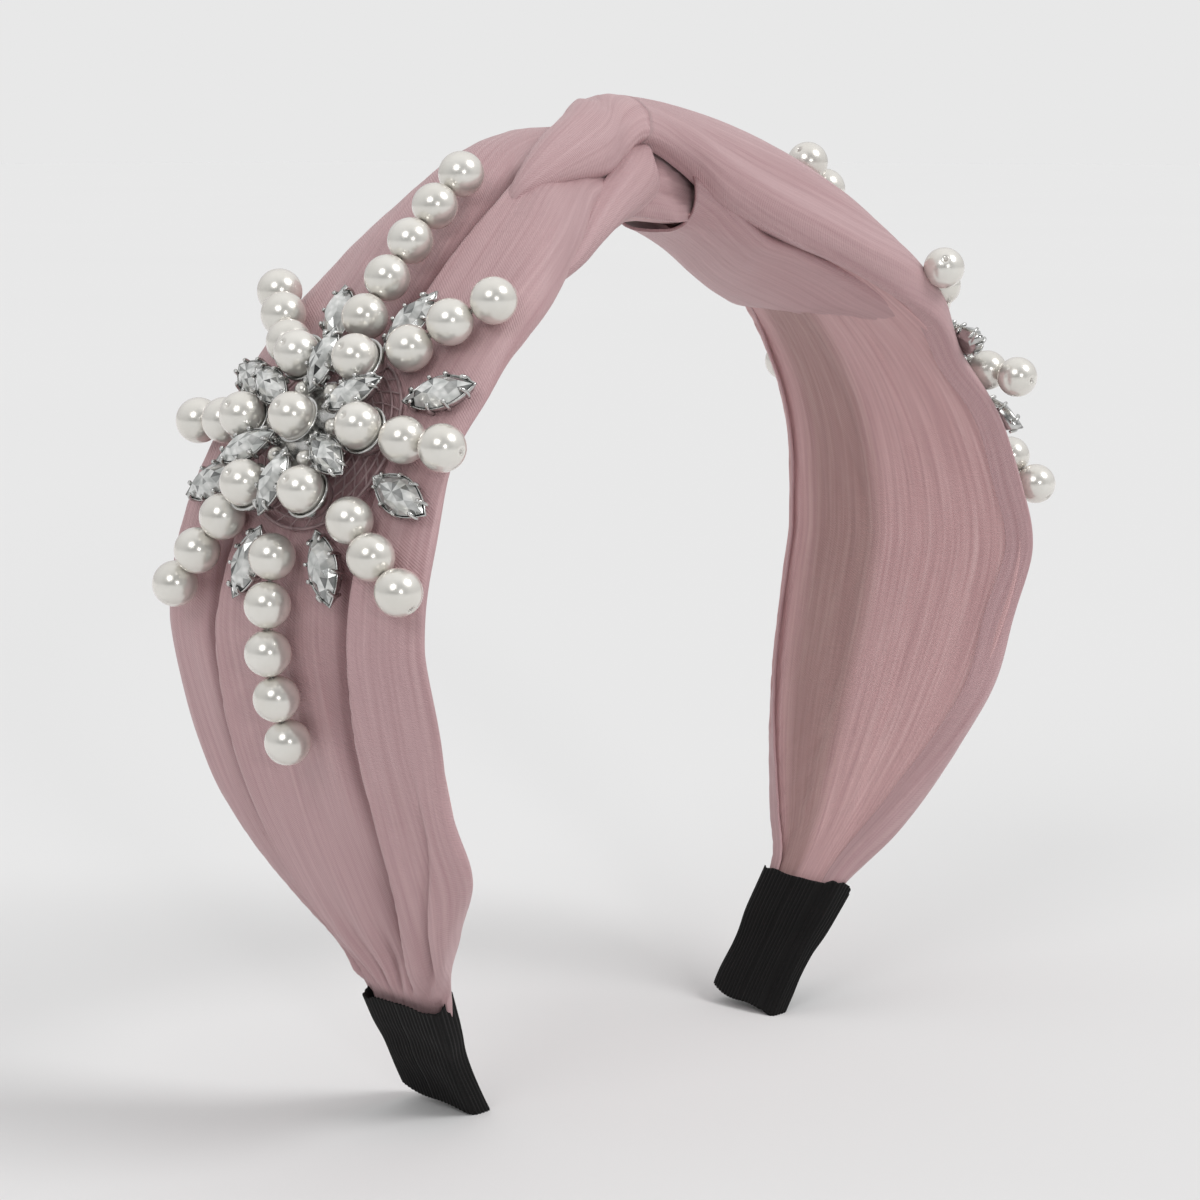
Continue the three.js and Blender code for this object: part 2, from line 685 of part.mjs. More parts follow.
// The frame's origin is the bottom centre of the object's box.
const box = new THREE.Box3().setFromObject(group, true);
group.position.y = -(box.min.y + box.max.y) / 2;

export default group;
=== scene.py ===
"""Looks for the knotted satin headband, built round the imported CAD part.

Shapes are worked out in millimetres in band coordinates and turned into metres as each mesh is made:
  s  the distance along the arch from the crown: negative on the left arm, positive on the right arm,
  y  the distance across the band from its middle line (-y is the front edge),
  n  the height above the arch, away from the head.
"""
import math
import random

import bpy
import numpy as np
from mathutils import Matrix, Vector


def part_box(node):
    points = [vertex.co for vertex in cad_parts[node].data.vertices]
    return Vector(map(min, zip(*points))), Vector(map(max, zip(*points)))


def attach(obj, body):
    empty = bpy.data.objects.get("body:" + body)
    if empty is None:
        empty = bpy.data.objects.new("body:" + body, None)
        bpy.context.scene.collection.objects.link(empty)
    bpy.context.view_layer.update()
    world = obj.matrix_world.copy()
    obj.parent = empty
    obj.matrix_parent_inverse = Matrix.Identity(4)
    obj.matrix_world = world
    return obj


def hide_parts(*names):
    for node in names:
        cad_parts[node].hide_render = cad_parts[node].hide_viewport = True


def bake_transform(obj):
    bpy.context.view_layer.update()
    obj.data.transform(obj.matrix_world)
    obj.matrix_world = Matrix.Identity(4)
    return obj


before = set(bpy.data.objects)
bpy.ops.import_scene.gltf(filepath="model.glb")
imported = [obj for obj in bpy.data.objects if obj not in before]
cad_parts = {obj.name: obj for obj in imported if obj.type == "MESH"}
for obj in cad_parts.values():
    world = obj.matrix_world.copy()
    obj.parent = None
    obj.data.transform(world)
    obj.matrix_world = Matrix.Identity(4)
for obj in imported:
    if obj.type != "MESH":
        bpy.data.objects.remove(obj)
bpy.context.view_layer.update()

MM = 0.001

# ---- Driving dimensions, the same as the CAD part's --------------------------------------------------

ARCH_HALF_WIDTH = 73.5
ARCH_WIDEST_HEIGHT = 82.0
ARCH_CROWN_HEIGHT = 141.5
TIP_HALF_GAP = 36.0
LOWER_CURVE_POWER = 1.31
TIP_SWEEP_BACK = 5.0
SWEEP_LENGTH = 40.0

ARM_FABRIC_HEIGHT = 5.0
NECK_FABRIC_HEIGHT = 3.6
KNOT_EXTRA_HEIGHT = 14.0
CORE_HALF_WIDTH = 5.5

# How far from the crown the knot's and the neck's changes of fabric height begin, and how long each takes.
KNOT_FADE = (8, 64)
NECK_FADE = (140, 30)
LOWEST_RIM = 1.6
RIM_SHARE = 0.4
DOME_POWER = 0.8
STEEPEST_EDGE = 0.985

RIBBON_LENGTH = 25.0
RIBBON_MOUTH_HALF_WIDTH = 8.7
RIBBON_TIP_HALF_WIDTH = 7.6

# Half widths of each fabric edge, as (distance from the crown, half width). At the neck the cloth fills
# the ribbon's mouth, where the CAD part leaves a gap.
FABRIC_EDGES = {
    "left": {
        "front": [(31, 17), (46, 26), (60, 27), (85, 27.5), (111, 28.5), (143, 23.5), (160, 13.5),
                  (169, 7.9)],
        "back": [(31, 14), (46, 20), (60, 23), (85, 24.5), (111, 27), (136, 26), (156, 17), (169, 7.9)],
    },
    "right": {
        "front": [(31, 13), (46, 17), (60, 21), (85, 26), (106, 28.5), (138, 23), (158, 13), (169, 7.9)],
        "back": [(31, 14), (46, 18), (60, 21), (85, 24.5), (106, 27), (134, 23.5), (156, 15), (169, 7.9)],
    },
}
SIGN = {"left": -1, "right": 1}

APPLIQUE_MIDDLE = {"left": (77.5, -3.2), "right": (75.5, -1.5)}
PEARL_RADIUS = 3.5
PEARL_PITCH = 7.05
PEARL_RAYS = [(5, 2), (3, 41), (2, 91), (3, 132), (5, 180), (3, 221), (2, 270), (3, 317)]
FIRST_PEARL_DISTANCE = 18.6
SEWN_GAP = 0.4
NET_RADIUS = 14.2
FLOWER_LIFT = 1.5
OUTER_CRYSTAL = {"distance": 21.1, "length": 11.8, "width": 5.6, "height": 3.4}
INNER_CRYSTAL = {"distance": 9.9, "length": 11.0, "width": 4.8, "height": 3.0}
INNER_CRYSTAL_LIFT = 3.3
RING_DISTANCE = 12.3
RING_PEARL_HEIGHT = 4.4
CENTRE_PEARL_HEIGHT = 6.0
SEED_DISTANCE = 6.2
SEED_RADIUS = 1.3
SEED_HEIGHT = 3.2


# ---- Camera -------------------------------------------------------------------------------------------

CAMERA_PLACE = (-372.48, -329.98, 153.06)
CAMERA_DOWN_DEGREES = 8.504
CAMERA_TURN_DEGREES = -47.71
CAMERA_LENS = 91.44


def make_camera():
    """The camera, in front of the left arm and a little above it."""
    data = bpy.data.cameras.new("camera")
    data.sensor_width = 36
    data.lens = CAMERA_LENS
    data.clip_start = 0.01
    camera = bpy.data.objects.new("camera", data)
    bpy.context.scene.collection.objects.link(camera)
    camera.location = Vector(CAMERA_PLACE) * MM
    camera.rotation_euler = (math.radians(90 - CAMERA_DOWN_DEGREES), 0, math.radians(CAMERA_TURN_DEGREES))
    bpy.context.scene.camera = camera


make_camera()


# ---- The arch -----------------------------------------------------------------------------------------

def smooth(t):
    """A smooth step from 0 to 1 as t goes from 0 to 1."""
    t = np.clip(t, 0, 1)
    return t * t * (3 - 2 * t)


def arch_table():
    """Distance, x and z along the right half of the arch, which runs straight on past its tip."""
    steps = 400
    angle = np.linspace(math.pi / 2, 0, steps + 1)
    drop = np.linspace(0, 1, steps + 1)[1:]
    rise = ARCH_CROWN_HEIGHT - ARCH_WIDEST_HEIGHT
    inward = (ARCH_HALF_WIDTH - TIP_HALF_GAP) * drop ** LOWER_CURVE_POWER
    x = np.concatenate([ARCH_HALF_WIDTH * np.cos(angle), ARCH_HALF_WIDTH - inward])
    z = np.concatenate([ARCH_WIDEST_HEIGHT + rise * np.sin(angle), ARCH_WIDEST_HEIGHT * (1 - drop)])
    distance = np.concatenate([[0], np.cumsum(np.hypot(np.diff(x), np.diff(z)))])
    length = distance[-1]
    ahead = 20 / (distance[-1] - distance[-2])
    x = np.append(x, x[-1] + ahead * (x[-1] - x[-2]))
    z = np.append(z, z[-1] + ahead * (z[-1] - z[-2]))
    return np.append(distance, length + 20), x, z, length


ARCH_S, ARCH_X, ARCH_Z, ARCH_LENGTH = arch_table()

# The CAD part's origin is the middle of its box, so the band's middle line lies off y = 0.
core_low, core_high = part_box("core_crown")
BAND_Y = (core_low[1] + core_high[1]) / 2 / MM


def arch_point(s):
    """X and Z of the arch at a distance along it, negative on the left arm."""
    distance = np.abs(s)
    return np.sign(s) * np.interp(distance, ARCH_S, ARCH_X), np.interp(distance, ARCH_S, ARCH_Z)


def sweep(distance):
    """How far the band sweeps back at a distance from the crown."""
    return TIP_SWEEP_BACK * smooth((distance - (ARCH_LENGTH - SWEEP_LENGTH)) / SWEEP_LENGTH)


def place(s, y, n):
    """The place (s, y, n) in X, Y and Z, in millimetres."""
    s, y, n = np.broadcast_arrays(*[np.asarray(v, float) for v in (s, y, n)])
    step = 1.0
    x1, z1 = arch_point(s + step)
    x0, z0 = arch_point(s - step)
    length = np.hypot(x1 - x0, z1 - z0)
    ax, az = (x1 - x0) / length, (z1 - z0) / length
    x, z = arch_point(s)
    return np.stack([x - az * n, y + sweep(np.abs(s)) + BAND_Y, z + ax * n], -1)


def spline(knots, values, at):
    """A smooth curve through values at knots: cubic pieces with slopes taken from the neighbours."""
    knots, values = np.asarray(knots, float), np.asarray(values, float)
    flat = (-1,) + (1,) * (values.ndim - 1)
    last = len(knots) - 1
    after = np.minimum(np.arange(last + 1) + 1, last)
    before = np.maximum(np.arange(last + 1) - 1, 0)
    slopes = (values[after] - values[before]) / (knots[after] - knots[before]).reshape(flat)
    at = np.clip(np.atleast_1d(at).astype(float), knots[0], knots[-1])
    i = np.clip(np.searchsorted(knots, at, side="right") - 1, 0, last - 1)
    h = (knots[i + 1] - knots[i]).reshape(flat)
    t = (at - knots[i]).reshape(flat) / h
    return (
        values[i] * (1 + 2 * t) * (1 - t) ** 2
        + slopes[i] * h * t * (1 - t) ** 2
        + values[i + 1] * t * t * (3 - 2 * t)
        + slopes[i + 1] * h * t * t * (t - 1)
    )


def edge_width(side, edge, distance):
    """The fabric's half width towards one edge of an arm, front or back."""
    pairs = FABRIC_EDGES[side][edge]
    distance = np.asarray(distance, float)
    values = spline([d for d, _ in pairs], [w for _, w in pairs], distance.ravel())
    return values.reshape(distance.shape)


def crest_height(distance):
    """The height of the fabric above the arch along the middle of the band."""
    knot = KNOT_EXTRA_HEIGHT * (1 - smooth((distance - KNOT_FADE[0]) / KNOT_FADE[1]))
    neck = (ARM_FABRIC_HEIGHT - NECK_FABRIC_HEIGHT) * smooth((distance - NECK_FADE[0]) / NECK_FADE[1])
    return ARM_FABRIC_HEIGHT + knot - neck


def rim_height(distance):
    """The height of the fabric's outside at its front and back edges."""
    return np.maximum(LOWEST_RIM, RIM_SHARE * crest_height(distance))


def dome_height(side, distance, y):
    """The height of the fabric's outside on an arm at a distance from the crown and across the band."""
    distance, y = np.broadcast_arrays(np.asarray(distance, float), np.asarray(y, float))
    half = np.where(y < 0, edge_width(side, "front", distance), edge_width(side, "back", distance))
    cosine = np.clip(-y / half, -STEEPEST_EDGE, STEEPEST_EDGE)
    rim = rim_height(distance)
    return rim + (crest_height(distance) - rim) * np.sin(np.arccos(cosine)) ** DOME_POWER


# ---- Mesh helpers -------------------------------------------------------------------------------------

def mesh_object(name, vertices, faces, material, uv=None, flat=False):
    """A new object from vertices in millimetres; uv is each vertex's place on its cloth, in centimetres."""
    mesh = bpy.data.meshes.new(name)
    mesh.from_pydata((np.asarray(vertices, float) * MM).tolist(), [], faces)
    mesh.polygons.foreach_set("use_smooth", [not flat] * len(mesh.polygons))
    if uv is not None:
        layer = mesh.uv_layers.new(name="cloth")
        corner_vertices = np.zeros(len(mesh.loops), int)
        mesh.loops.foreach_get("vertex_index", corner_vertices)
        layer.data.foreach_set("uv", np.asarray(uv, float)[corner_vertices].ravel())
    mesh.materials.append(material)
    mesh.update()
    made = bpy.data.objects.new(name, mesh)
    bpy.context.scene.collection.objects.link(made)
    return made


def grid_faces(rows, columns, offset=0, closed=False):
    """Quads of a grid of vertices; closed joins the last column to the first."""
    faces = []
    for r in range(rows - 1):
        for c in range(columns if closed else columns - 1):
            a = offset + r * columns + c
            b = offset + r * columns + (c + 1) % columns
            faces.append((a, b, b + columns, a + columns))
    return faces


def unit(vectors):
    """Vectors scaled to a length of 1."""
    return vectors / np.maximum(np.linalg.norm(vectors, axis=-1, keepdims=True), 1e-9)


def grid_normals(points):
    """Unit normals of a grid of points, on the side that along x across points to."""
    along = np.gradient(points, axis=0)
    across = np.gradient(points, axis=1)
    return unit(np.cross(along, across))


def arc_lengths(points, axis):
    """Distance along one axis of a grid of points, from its start."""
    steps = np.linalg.norm(np.diff(points, axis=axis), axis=-1)
    pad = [(1, 0), (0, 0)] if axis == 0 else [(0, 0), (1, 0)]
    return np.pad(np.cumsum(steps, axis=axis), pad)


# How many columns to each side a fold is measured over, for the painted shade in folds.
FOLD_SHADE_REACHES = (5, 12, 26)


def hollow_depth(points, normals, reach):
    """How far each point of a grid lies below the mean of its neighbours across the cloth, 0 where above."""
    columns = points.shape[1]
    padded = np.pad(points, [(0, 0), (reach + 1, reach), (0, 0)], mode="edge")
    total = np.cumsum(padded, axis=1)
    mean = (total[:, 2 * reach + 1:] - total[:, :columns]) / (2 * reach + 1)
    return np.maximum(0, ((mean - points) * normals).sum(-1))


def shell(name, points, thickness, material, outward=1):
    """A closed sheet of cloth: a grid of points for its outer face, a thickness, and round edges."""
    rows, columns = points.shape[:2]
    normals = grid_normals(points) * outward
    inner = points - normals * thickness
    middle = (points + inner) / 2
    rim_angles = np.radians([45, 90, 135])

    def rim(column, neighbour):
        out = unit(points[:, column] - points[:, neighbour])
        parts = [
            middle[:, column] + thickness / 2 * (normals[:, column] * math.cos(a) + out * math.sin(a))
            for a in rim_angles
        ]
        return np.stack(parts, 1)

    first, last = rim(0, 1), rim(-1, -2)
    ring = np.concatenate([points, last, inner[:, ::-1], first[:, ::-1]], 1)
    count = ring.shape[1]
    across = arc_lengths(points, 1).mean(0)
    along = arc_lengths(points, 0).mean(1)
    edge = np.full(3, across[-1])
    across_ring = np.concatenate([across, edge, across[::-1], np.zeros(3)])
    uv = np.stack(np.broadcast_arrays(across_ring[None, :], along[:, None]), -1).reshape(-1, 2) / 10
    faces = grid_faces(rows, count, closed=True)
    for base, turn in ((0, 1), ((rows - 1) * count, -1)):
        for c in range(columns - 1):
            twin = columns + 3 + (columns - 1 - c)
            faces.append((base + c, base + c + 1, base + twin - 1, base + twin)[::turn])
        first_rim = [0, columns + 3 + columns - 1, *range(count - 3, count)]
        last_rim = [*range(columns - 1, columns + 4)]
        faces.append(tuple(base + i for i in first_rim)[::turn])
        faces.append(tuple(base + i for i in last_rim)[::-turn])
    vertices = ring.reshape(-1, 3)
    made = mesh_object(name, vertices, faces, material, uv)
    for polygon in list(made.data.polygons)[(rows - 1) * count:]:
        polygon.use_smooth = False
    # Painted shade: how deep each point lies in a fold, by which the satin's colour is darkened.
    fold_shade_depths = np.zeros((rows, count))
    fold_shade_depths[:, :columns] = sum(hollow_depth(points, normals, reach) for reach in FOLD_SHADE_REACHES)
    made.data.attributes.new("fold_shade", "FLOAT", "POINT").data.foreach_set("value", fold_shade_depths.ravel())
    turn_outward(made)
    return made


def turn_outward(made):
    """Turns a closed mesh's faces outward."""
    mesh = made.data
    mesh.calc_loop_triangles()
    corners = np.zeros(3 * len(mesh.loop_triangles), int)
    mesh.loop_triangles.foreach_get("vertices", corners)
    places = np.zeros(3 * len(mesh.vertices))
    mesh.vertices.foreach_get("co", places)
    a, b, c = places.reshape(-1, 3)[corners.reshape(-1, 3)].swapaxes(0, 1)
    if (a * np.cross(b, c)).sum() < 0:
        mesh.flip_normals()


def dense(net, along_step, across_step, first=0, last=-1):
    """A fine grid of (s, y, n) through a net of control points, smooth both ways, from row first to last."""
    net = np.asarray(net, float)
    rows = np.linalg.norm(np.diff(net, axis=0), axis=-1).mean(1)
    columns = np.linalg.norm(np.diff(net, axis=1), axis=-1).mean(0)
    row_knots = np.concatenate([[0], np.cumsum(np.maximum(rows, 0.5))])
    column_knots = np.concatenate([[0], np.cumsum(np.maximum(columns, 0.5))])
    start, end = row_knots[first], row_knots[last]
    row_at = np.linspace(start, end, max(8, int((end - start) / along_step)))
    column_at = np.linspace(0, column_knots[-1], max(8, int(column_knots[-1] / across_step)))
    tall = spline(row_knots, net, row_at)
    fine = spline(column_knots, np.swapaxes(tall, 0, 1), column_at)
    return np.swapaxes(fine, 0, 1)


# The pitch and depth of the cloth's lengthwise crinkles.
CRINKLES = ((0.95, 0.035), (1.5, 0.055), (2.6, 0.075), (5.4, 0.12))


def crinkle(across, along, seed, size=1.0):
    """The height of the cloth's fine lengthwise crinkles, which wander a little along the cloth."""
    draw = random.Random(seed)
    height = np.zeros(np.broadcast(across, along).shape)
    for pitch, depth in CRINKLES:
        for _ in range(2):
            own_pitch = pitch * draw.uniform(0.85, 1.2)
            phase, turn = draw.uniform(0, 7), draw.uniform(0, 7)
            wander = 1.6 * np.sin(along / draw.uniform(11, 19) + turn) + 0.9 * np.sin(along / 5.3 + phase)
            fade = 0.55 + 0.45 * np.sin(along / draw.uniform(7, 15) + across / 9 + turn)
            height = height + depth / 2 * fade * np.sin(2 * math.pi * across / own_pitch + phase + wander)
    return size * height


def crinkled(points, seed, size=1.0, outward=1, from_end=False):
    """Points of a cloth grid moved along their normals by its crinkles, measured from either end."""
    across = arc_lengths(points, 1)
    along = arc_lengths(points, 0).mean(1)[:, None]
    if from_end:
        along = along - along[-1]
    lift = crinkle(across, along, seed, size)
    return points + outward * grid_normals(points) * lift[..., None]


# ---- Materials ----------------------------------------------------------------------------------------

def new_material(name):
    material = bpy.data.materials.new(name)
    material.use_nodes = True
    nodes = material.node_tree.nodes
    nodes.clear()
    output = nodes.new("ShaderNodeOutputMaterial")
    shader = nodes.new("ShaderNodeBsdfPrincipled")
    material.node_tree.links.new(shader.outputs[0], output.inputs[0])
    return material, shader


def linear(red, green, blue):
    """A colour given in the 0-255 values of a screen, as a linear colour."""
    return tuple((v / 255) ** 2.2 for v in (red, green, blue)) + (1.0,)


def node(material, kind, inputs=None, **settings):
    made = material.node_tree.nodes.new(kind)
    for key, value in settings.items():
        setattr(made, key, value)
    for key, value in (inputs or {}).items():
        if isinstance(value, bpy.types.NodeSocket):
            material.node_tree.links.new(value, made.inputs[key])
        else:
            made.inputs[key].default_value = value
    return made


def cloth_streaks(material, across_scale, along_scale, detail=4.0):
    """Noise drawn out along the cloth, from its own coordinates."""
    place_on_cloth = node(material, "ShaderNodeUVMap", uv_map="cloth")
    stretch = node(material, "ShaderNodeMapping", {"Vector": place_on_cloth.outputs[0]})
    stretch.inputs["Scale"].default_value = (across_scale, along_scale, 1)
    return node(material, "ShaderNodeTexNoise",
                {"Vector": stretch.outputs[0], "Scale": 1.0, "Detail": detail, "Roughness": 0.6})


def ramp(material, factor, stops):
    """A colour ramp of (position, colour) stops."""
    made = node(material, "ShaderNodeValToRGB", {"Fac": factor})
    elements = made.color_ramp.elements
    while len(elements) < len(stops):
        elements.new(0.5)
    for element, (position, color) in zip(elements, stops):
        element.position = position
        element.color = color
    return made.outputs["Color"]


def bump(material, height, strength, distance_mm, normal=None):
    """The normal of a bump of a depth in millimetres, on top of another normal if one is given."""
    inputs = {"Height": height, "Strength": strength, "Distance": distance_mm * MM}
    if normal is not None:
        inputs["Normal"] = normal
    return node(material, "ShaderNodeBump", inputs).outputs[0]


def multiplied(material, color, tint):
    """A colour multiplied by another, over the whole surface."""
    links = material.node_tree.links
    mixed = node(material, "ShaderNodeMix", data_type="RGBA", blend_type="MULTIPLY")
    mixed.inputs[0].default_value = 1.0
    links.new(color, mixed.inputs[6])
    links.new(tint, mixed.inputs[7])
    return mixed.outputs[2]


# Painted shade: what the cloth's colour is multiplied by in the depth of a fold, to darken the fold as shade
# would.
FOLD_SHADE_COLOR = (0.42, 0.30, 0.31, 1)


def satin_material(name, dark, middle, light, core_stripe=None):
    """Crinkled satin: lengthwise streaks of light and dark, a fine slanting weave, a soft sheen, and painted
    shade that darkens its colour in folds.

    core_stripe is the stripe where the core shows through: (middle, full until, gone from) in centimetres
    across the cloth, and its colour.
    """
    material, shader = new_material(name)
    links = material.node_tree.links
    streaks = cloth_streaks(material, 14, 0.3, 5)
    color = ramp(material, streaks.outputs["Fac"], [(0.3, dark), (0.5, middle), (0.72, light)])
    if core_stripe is not None:
        (stripe_middle, full_until, gone_from), stripe_color = core_stripe
        spot = node(material, "ShaderNodeUVMap", uv_map="cloth")
        parts = node(material, "ShaderNodeSeparateXYZ", {0: spot.outputs[0]})
        from_middle = node(material, "ShaderNodeMath", {0: parts.outputs[0], 1: stripe_middle},
                           operation="SUBTRACT")
        width = node(material, "ShaderNodeMath", {0: from_middle.outputs[0]}, operation="ABSOLUTE")
        mask = node(material, "ShaderNodeMapRange",
                    {0: width.outputs[0], 1: full_until, 2: gone_from, 3: 0.75, 4: 0.0},
                    interpolation_type="SMOOTHSTEP")
        mixed = node(material, "ShaderNodeMix", data_type="RGBA", blend_type="MULTIPLY")
        links.new(mask.outputs[0], mixed.inputs[0])
        links.new(color, mixed.inputs[6])
        mixed.inputs[7].default_value = stripe_color
        color = mixed.outputs[2]
    # Painted shade: the colour is darkened in the depths of folds, as shade would darken it.
    fold_shade = node(material, "ShaderNodeAttribute", attribute_name="fold_shade")
    shade = node(material, "ShaderNodeMapRange", {0: fold_shade.outputs["Fac"], 1: 0.1, 2: 1.6, 3: 0.0, 4: 0.75},
                 interpolation_type="SMOOTHSTEP")
    fold_shaded = node(material, "ShaderNodeMix", {0: shade.outputs[0], 6: color}, data_type="RGBA",
                  blend_type="MULTIPLY")
    fold_shaded.inputs[7].default_value = FOLD_SHADE_COLOR
    links.new(fold_shaded.outputs[2], shader.inputs["Base Color"])
    shader.inputs["Roughness"].default_value = 0.43
    shader.inputs["Sheen Weight"].default_value = 0.35
    shader.inputs["Sheen Roughness"].default_value = 0.45
    shader.inputs["Sheen Tint"].default_value = linear(245, 222, 222)
    shader.inputs["Specular IOR Level"].default_value = 0.5
    weave_spot = node(material, "ShaderNodeUVMap", uv_map="cloth")
    turned = node(material, "ShaderNodeMapping", {"Vector": weave_spot.outputs[0]})
    turned.inputs["Rotation"].default_value = (0, 0, math.radians(-52))
    weave = node(material, "ShaderNodeTexWave",
                 {"Vector": turned.outputs[0], "Scale": 8.5, "Distortion": 1.6, "Detail": 2.0,
                  "Detail Scale": 2.2})
    fine = cloth_streaks(material, 22, 0.8, 3)
    normal = bump(material, streaks.outputs["Fac"], 0.45, 0.18)
    normal = bump(material, fine.outputs["Fac"], 0.6, 0.12, normal)
    normal = bump(material, weave.outputs["Fac"], 0.8, 0.06, normal)
    links.new(normal, shader.inputs["Normal"])
    return material


def ribbon_material():
    """Black ribbed ribbon: fine lengthwise ribs and a dry, slightly worn face."""
    material, shader = new_material("ribbon")
    links = material.node_tree.links
    streaks = cloth_streaks(material, 26, 1.2, 3)
    color = ramp(material, streaks.outputs["Fac"], [(0.35, linear(6, 5, 5)), (0.75, linear(20, 18, 18))])
    links.new(color, shader.inputs["Base Color"])
    shader.inputs["Roughness"].default_value = 0.75
    shader.inputs["Sheen Weight"].default_value = 0.04
    shader.inputs["Specular IOR Level"].default_value = 0.25
    cross = cloth_streaks(material, 3, 30, 2)
    normal = bump(material, streaks.outputs["Fac"], 0.6, 0.12)
    normal = bump(material, cross.outputs["Fac"], 0.4, 0.06, normal)
    links.new(normal, shader.inputs["Normal"])
    return material


def pearl_material():
    """A glass pearl: warm white under a clear glossy coat, a little darker and rosier at grazing angles,
    where the rosier tint is partly the pearl's own and partly a painted reflection of the pink satin round
    it.
    """
    material, shader = new_material("pearl")
    links = material.node_tree.links
    # Painted reflection: the colour turns rosier at grazing angles, partly the pearl's own tint and partly
    # the pink satin reflected.
    facing = node(material, "ShaderNodeLayerWeight", {"Blend": 0.35})
    color = ramp(material, facing.outputs["Facing"],
                 [(0.0, linear(233, 232, 228)), (0.55, linear(238, 235, 230)), (1.0, linear(248, 232, 224))])
    spot = node(material, "ShaderNodeTexCoord")
    cloud = node(material, "ShaderNodeTexNoise",
                 {"Vector": spot.outputs["Object"], "Scale": 180.0, "Detail": 3.0})
    tint = ramp(material, cloud.outputs["Fac"], [(0.3, linear(244, 242, 238)), (0.7, linear(255, 254, 252))])
    links.new(multiplied(material, color, tint), shader.inputs["Base Color"])
    shader.inputs["Metallic"].default_value = 0.55
    shader.inputs["Roughness"].default_value = 0.24
    shader.inputs["Coat Weight"].default_value = 0.8
    shader.inputs["Coat Roughness"].default_value = 0.05
    shader.inputs["Specular IOR Level"].default_value = 0.6
    links.new(bump(material, cloud.outputs["Fac"], 0.15, 0.03), shader.inputs["Normal"])
    return material


def crystal_material():
    """A foil-backed cut stone: each facet is given its own brightness in its colour, a painted reflection
    that stands for the light its foil throws one way.
    """
    material, shader = new_material("crystal")
    links = material.node_tree.links
    # Painted reflection: each facet's brightness, from dark to white glints, is set in its colour.
    facet_glint = node(material, "ShaderNodeAttribute", attribute_name="facet_glint")
    color = ramp(material, facet_glint.outputs["Fac"],
                 [(0.0, linear(70, 71, 72)), (0.2, linear(168, 169, 168)), (0.45, linear(236, 237, 235)),
                  (1.0, linear(255, 255, 253))])
    spot = node(material, "ShaderNodeTexCoord")
    foil = node(material, "ShaderNodeTexVoronoi", {"Vector": spot.outputs["Object"], "Scale": 900.0})
    tint = ramp(material, foil.outputs["Distance"],
                [(0.1, linear(250, 250, 250)), (0.8, linear(205, 207, 206))])
    links.new(multiplied(material, color, tint), shader.inputs["Base Color"])
    shader.inputs["Metallic"].default_value = 0.42
    shader.inputs["Roughness"].default_value = 0.12
    shader.inputs["Coat Weight"].default_value = 1.0
    shader.inputs["Coat Roughness"].default_value = 0.02
    return material


def metal_material(name, color, roughness):
    """Plated metal with small scratches and a slightly uneven polish."""
    material, shader = new_material(name)
    links = material.node_tree.links
    spot = node(material, "ShaderNodeTexCoord")
    wear = node(material, "ShaderNodeTexNoise",
                {"Vector": spot.outputs["Object"], "Scale": 700.0, "Detail": 4.0})
    darker = tuple(v * 0.72 for v in color[:3]) + (1.0,)
    worn = ramp(material, wear.outputs["Fac"], [(0.35, darker), (0.65, color)])
    links.new(worn, shader.inputs["Base Color"])
    rough = node(material, "ShaderNodeMapRange",
                 {0: wear.outputs["Fac"], 1: 0.3, 2: 0.7, 3: roughness * 0.7, 4: roughness * 1.4})
    links.new(rough.outputs[0], shader.inputs["Roughness"])
    shader.inputs["Metallic"].default_value = 1.0
    links.new(bump(material, wear.outputs["Fac"], 0.3, 0.05), shader.inputs["Normal"])
    return material


def thread_material(name, color):
    """Clear nylon or net thread: milky, with a soft gloss."""
    material, shader = new_material(name)
    links = material.node_tree.links
    spot = node(material, "ShaderNodeTexCoord")
    cloud = node(material, "ShaderNodeTexNoise", {"Vector": spot.outputs["Object"], "Scale": 900.0})
    darker = tuple(v * 0.8 for v in color[:3]) + (1.0,)
    cloudy = ramp(material, cloud.outputs["Fac"], [(0.3, darker), (0.7, color)])
    links.new(cloudy, shader.inputs["Base Color"])
    shader.inputs["Roughness"].default_value = 0.35
    shader.inputs["Transmission Weight"].default_value = 0.3
    return material


SATIN = satin_material("satin", linear(176, 139, 142), linear(186, 151, 154), linear(197, 163, 165))
CORE_STRIPE = ((2.6, 0.35, 0.75), linear(196, 190, 182))
# Painted light: the same satin as the cover, given paler colours to lift the head side, which lies in shade.
PALER_LINING = satin_material("lining", linear(188, 147, 149), linear(203, 163, 164), linear(218, 182, 182),
                        CORE_STRIPE)
RIBBON = ribbon_material()
PEARL = pearl_material()
CRYSTAL = crystal_material()
SILVER = metal_material("silver", linear(214, 214, 212), 0.2)
STEEL = metal_material("core_steel", linear(150, 152, 156), 0.4)
NET = thread_material("net", linear(205, 176, 178))
NYLON = thread_material("nylon", linear(232, 228, 222))


# ---- Satin covers of the arms -------------------------------------------------------------------------

COVER_THICKNESS = 0.5
COVER_CRINKLE = 0.5
HEM_WIDTH = {"front": 4.2, "back": 2.6}
HEM_LEVEL = -0.5
ALONG_STEP = 0.8
ACROSS_STEP = 0.36

# The fabric runs on inside the ribbon by this much past its mouth.
FABRIC_IN_RIBBON = 5
NECK_END = ARCH_LENGTH - RIBBON_LENGTH + FABRIC_IN_RIBBON


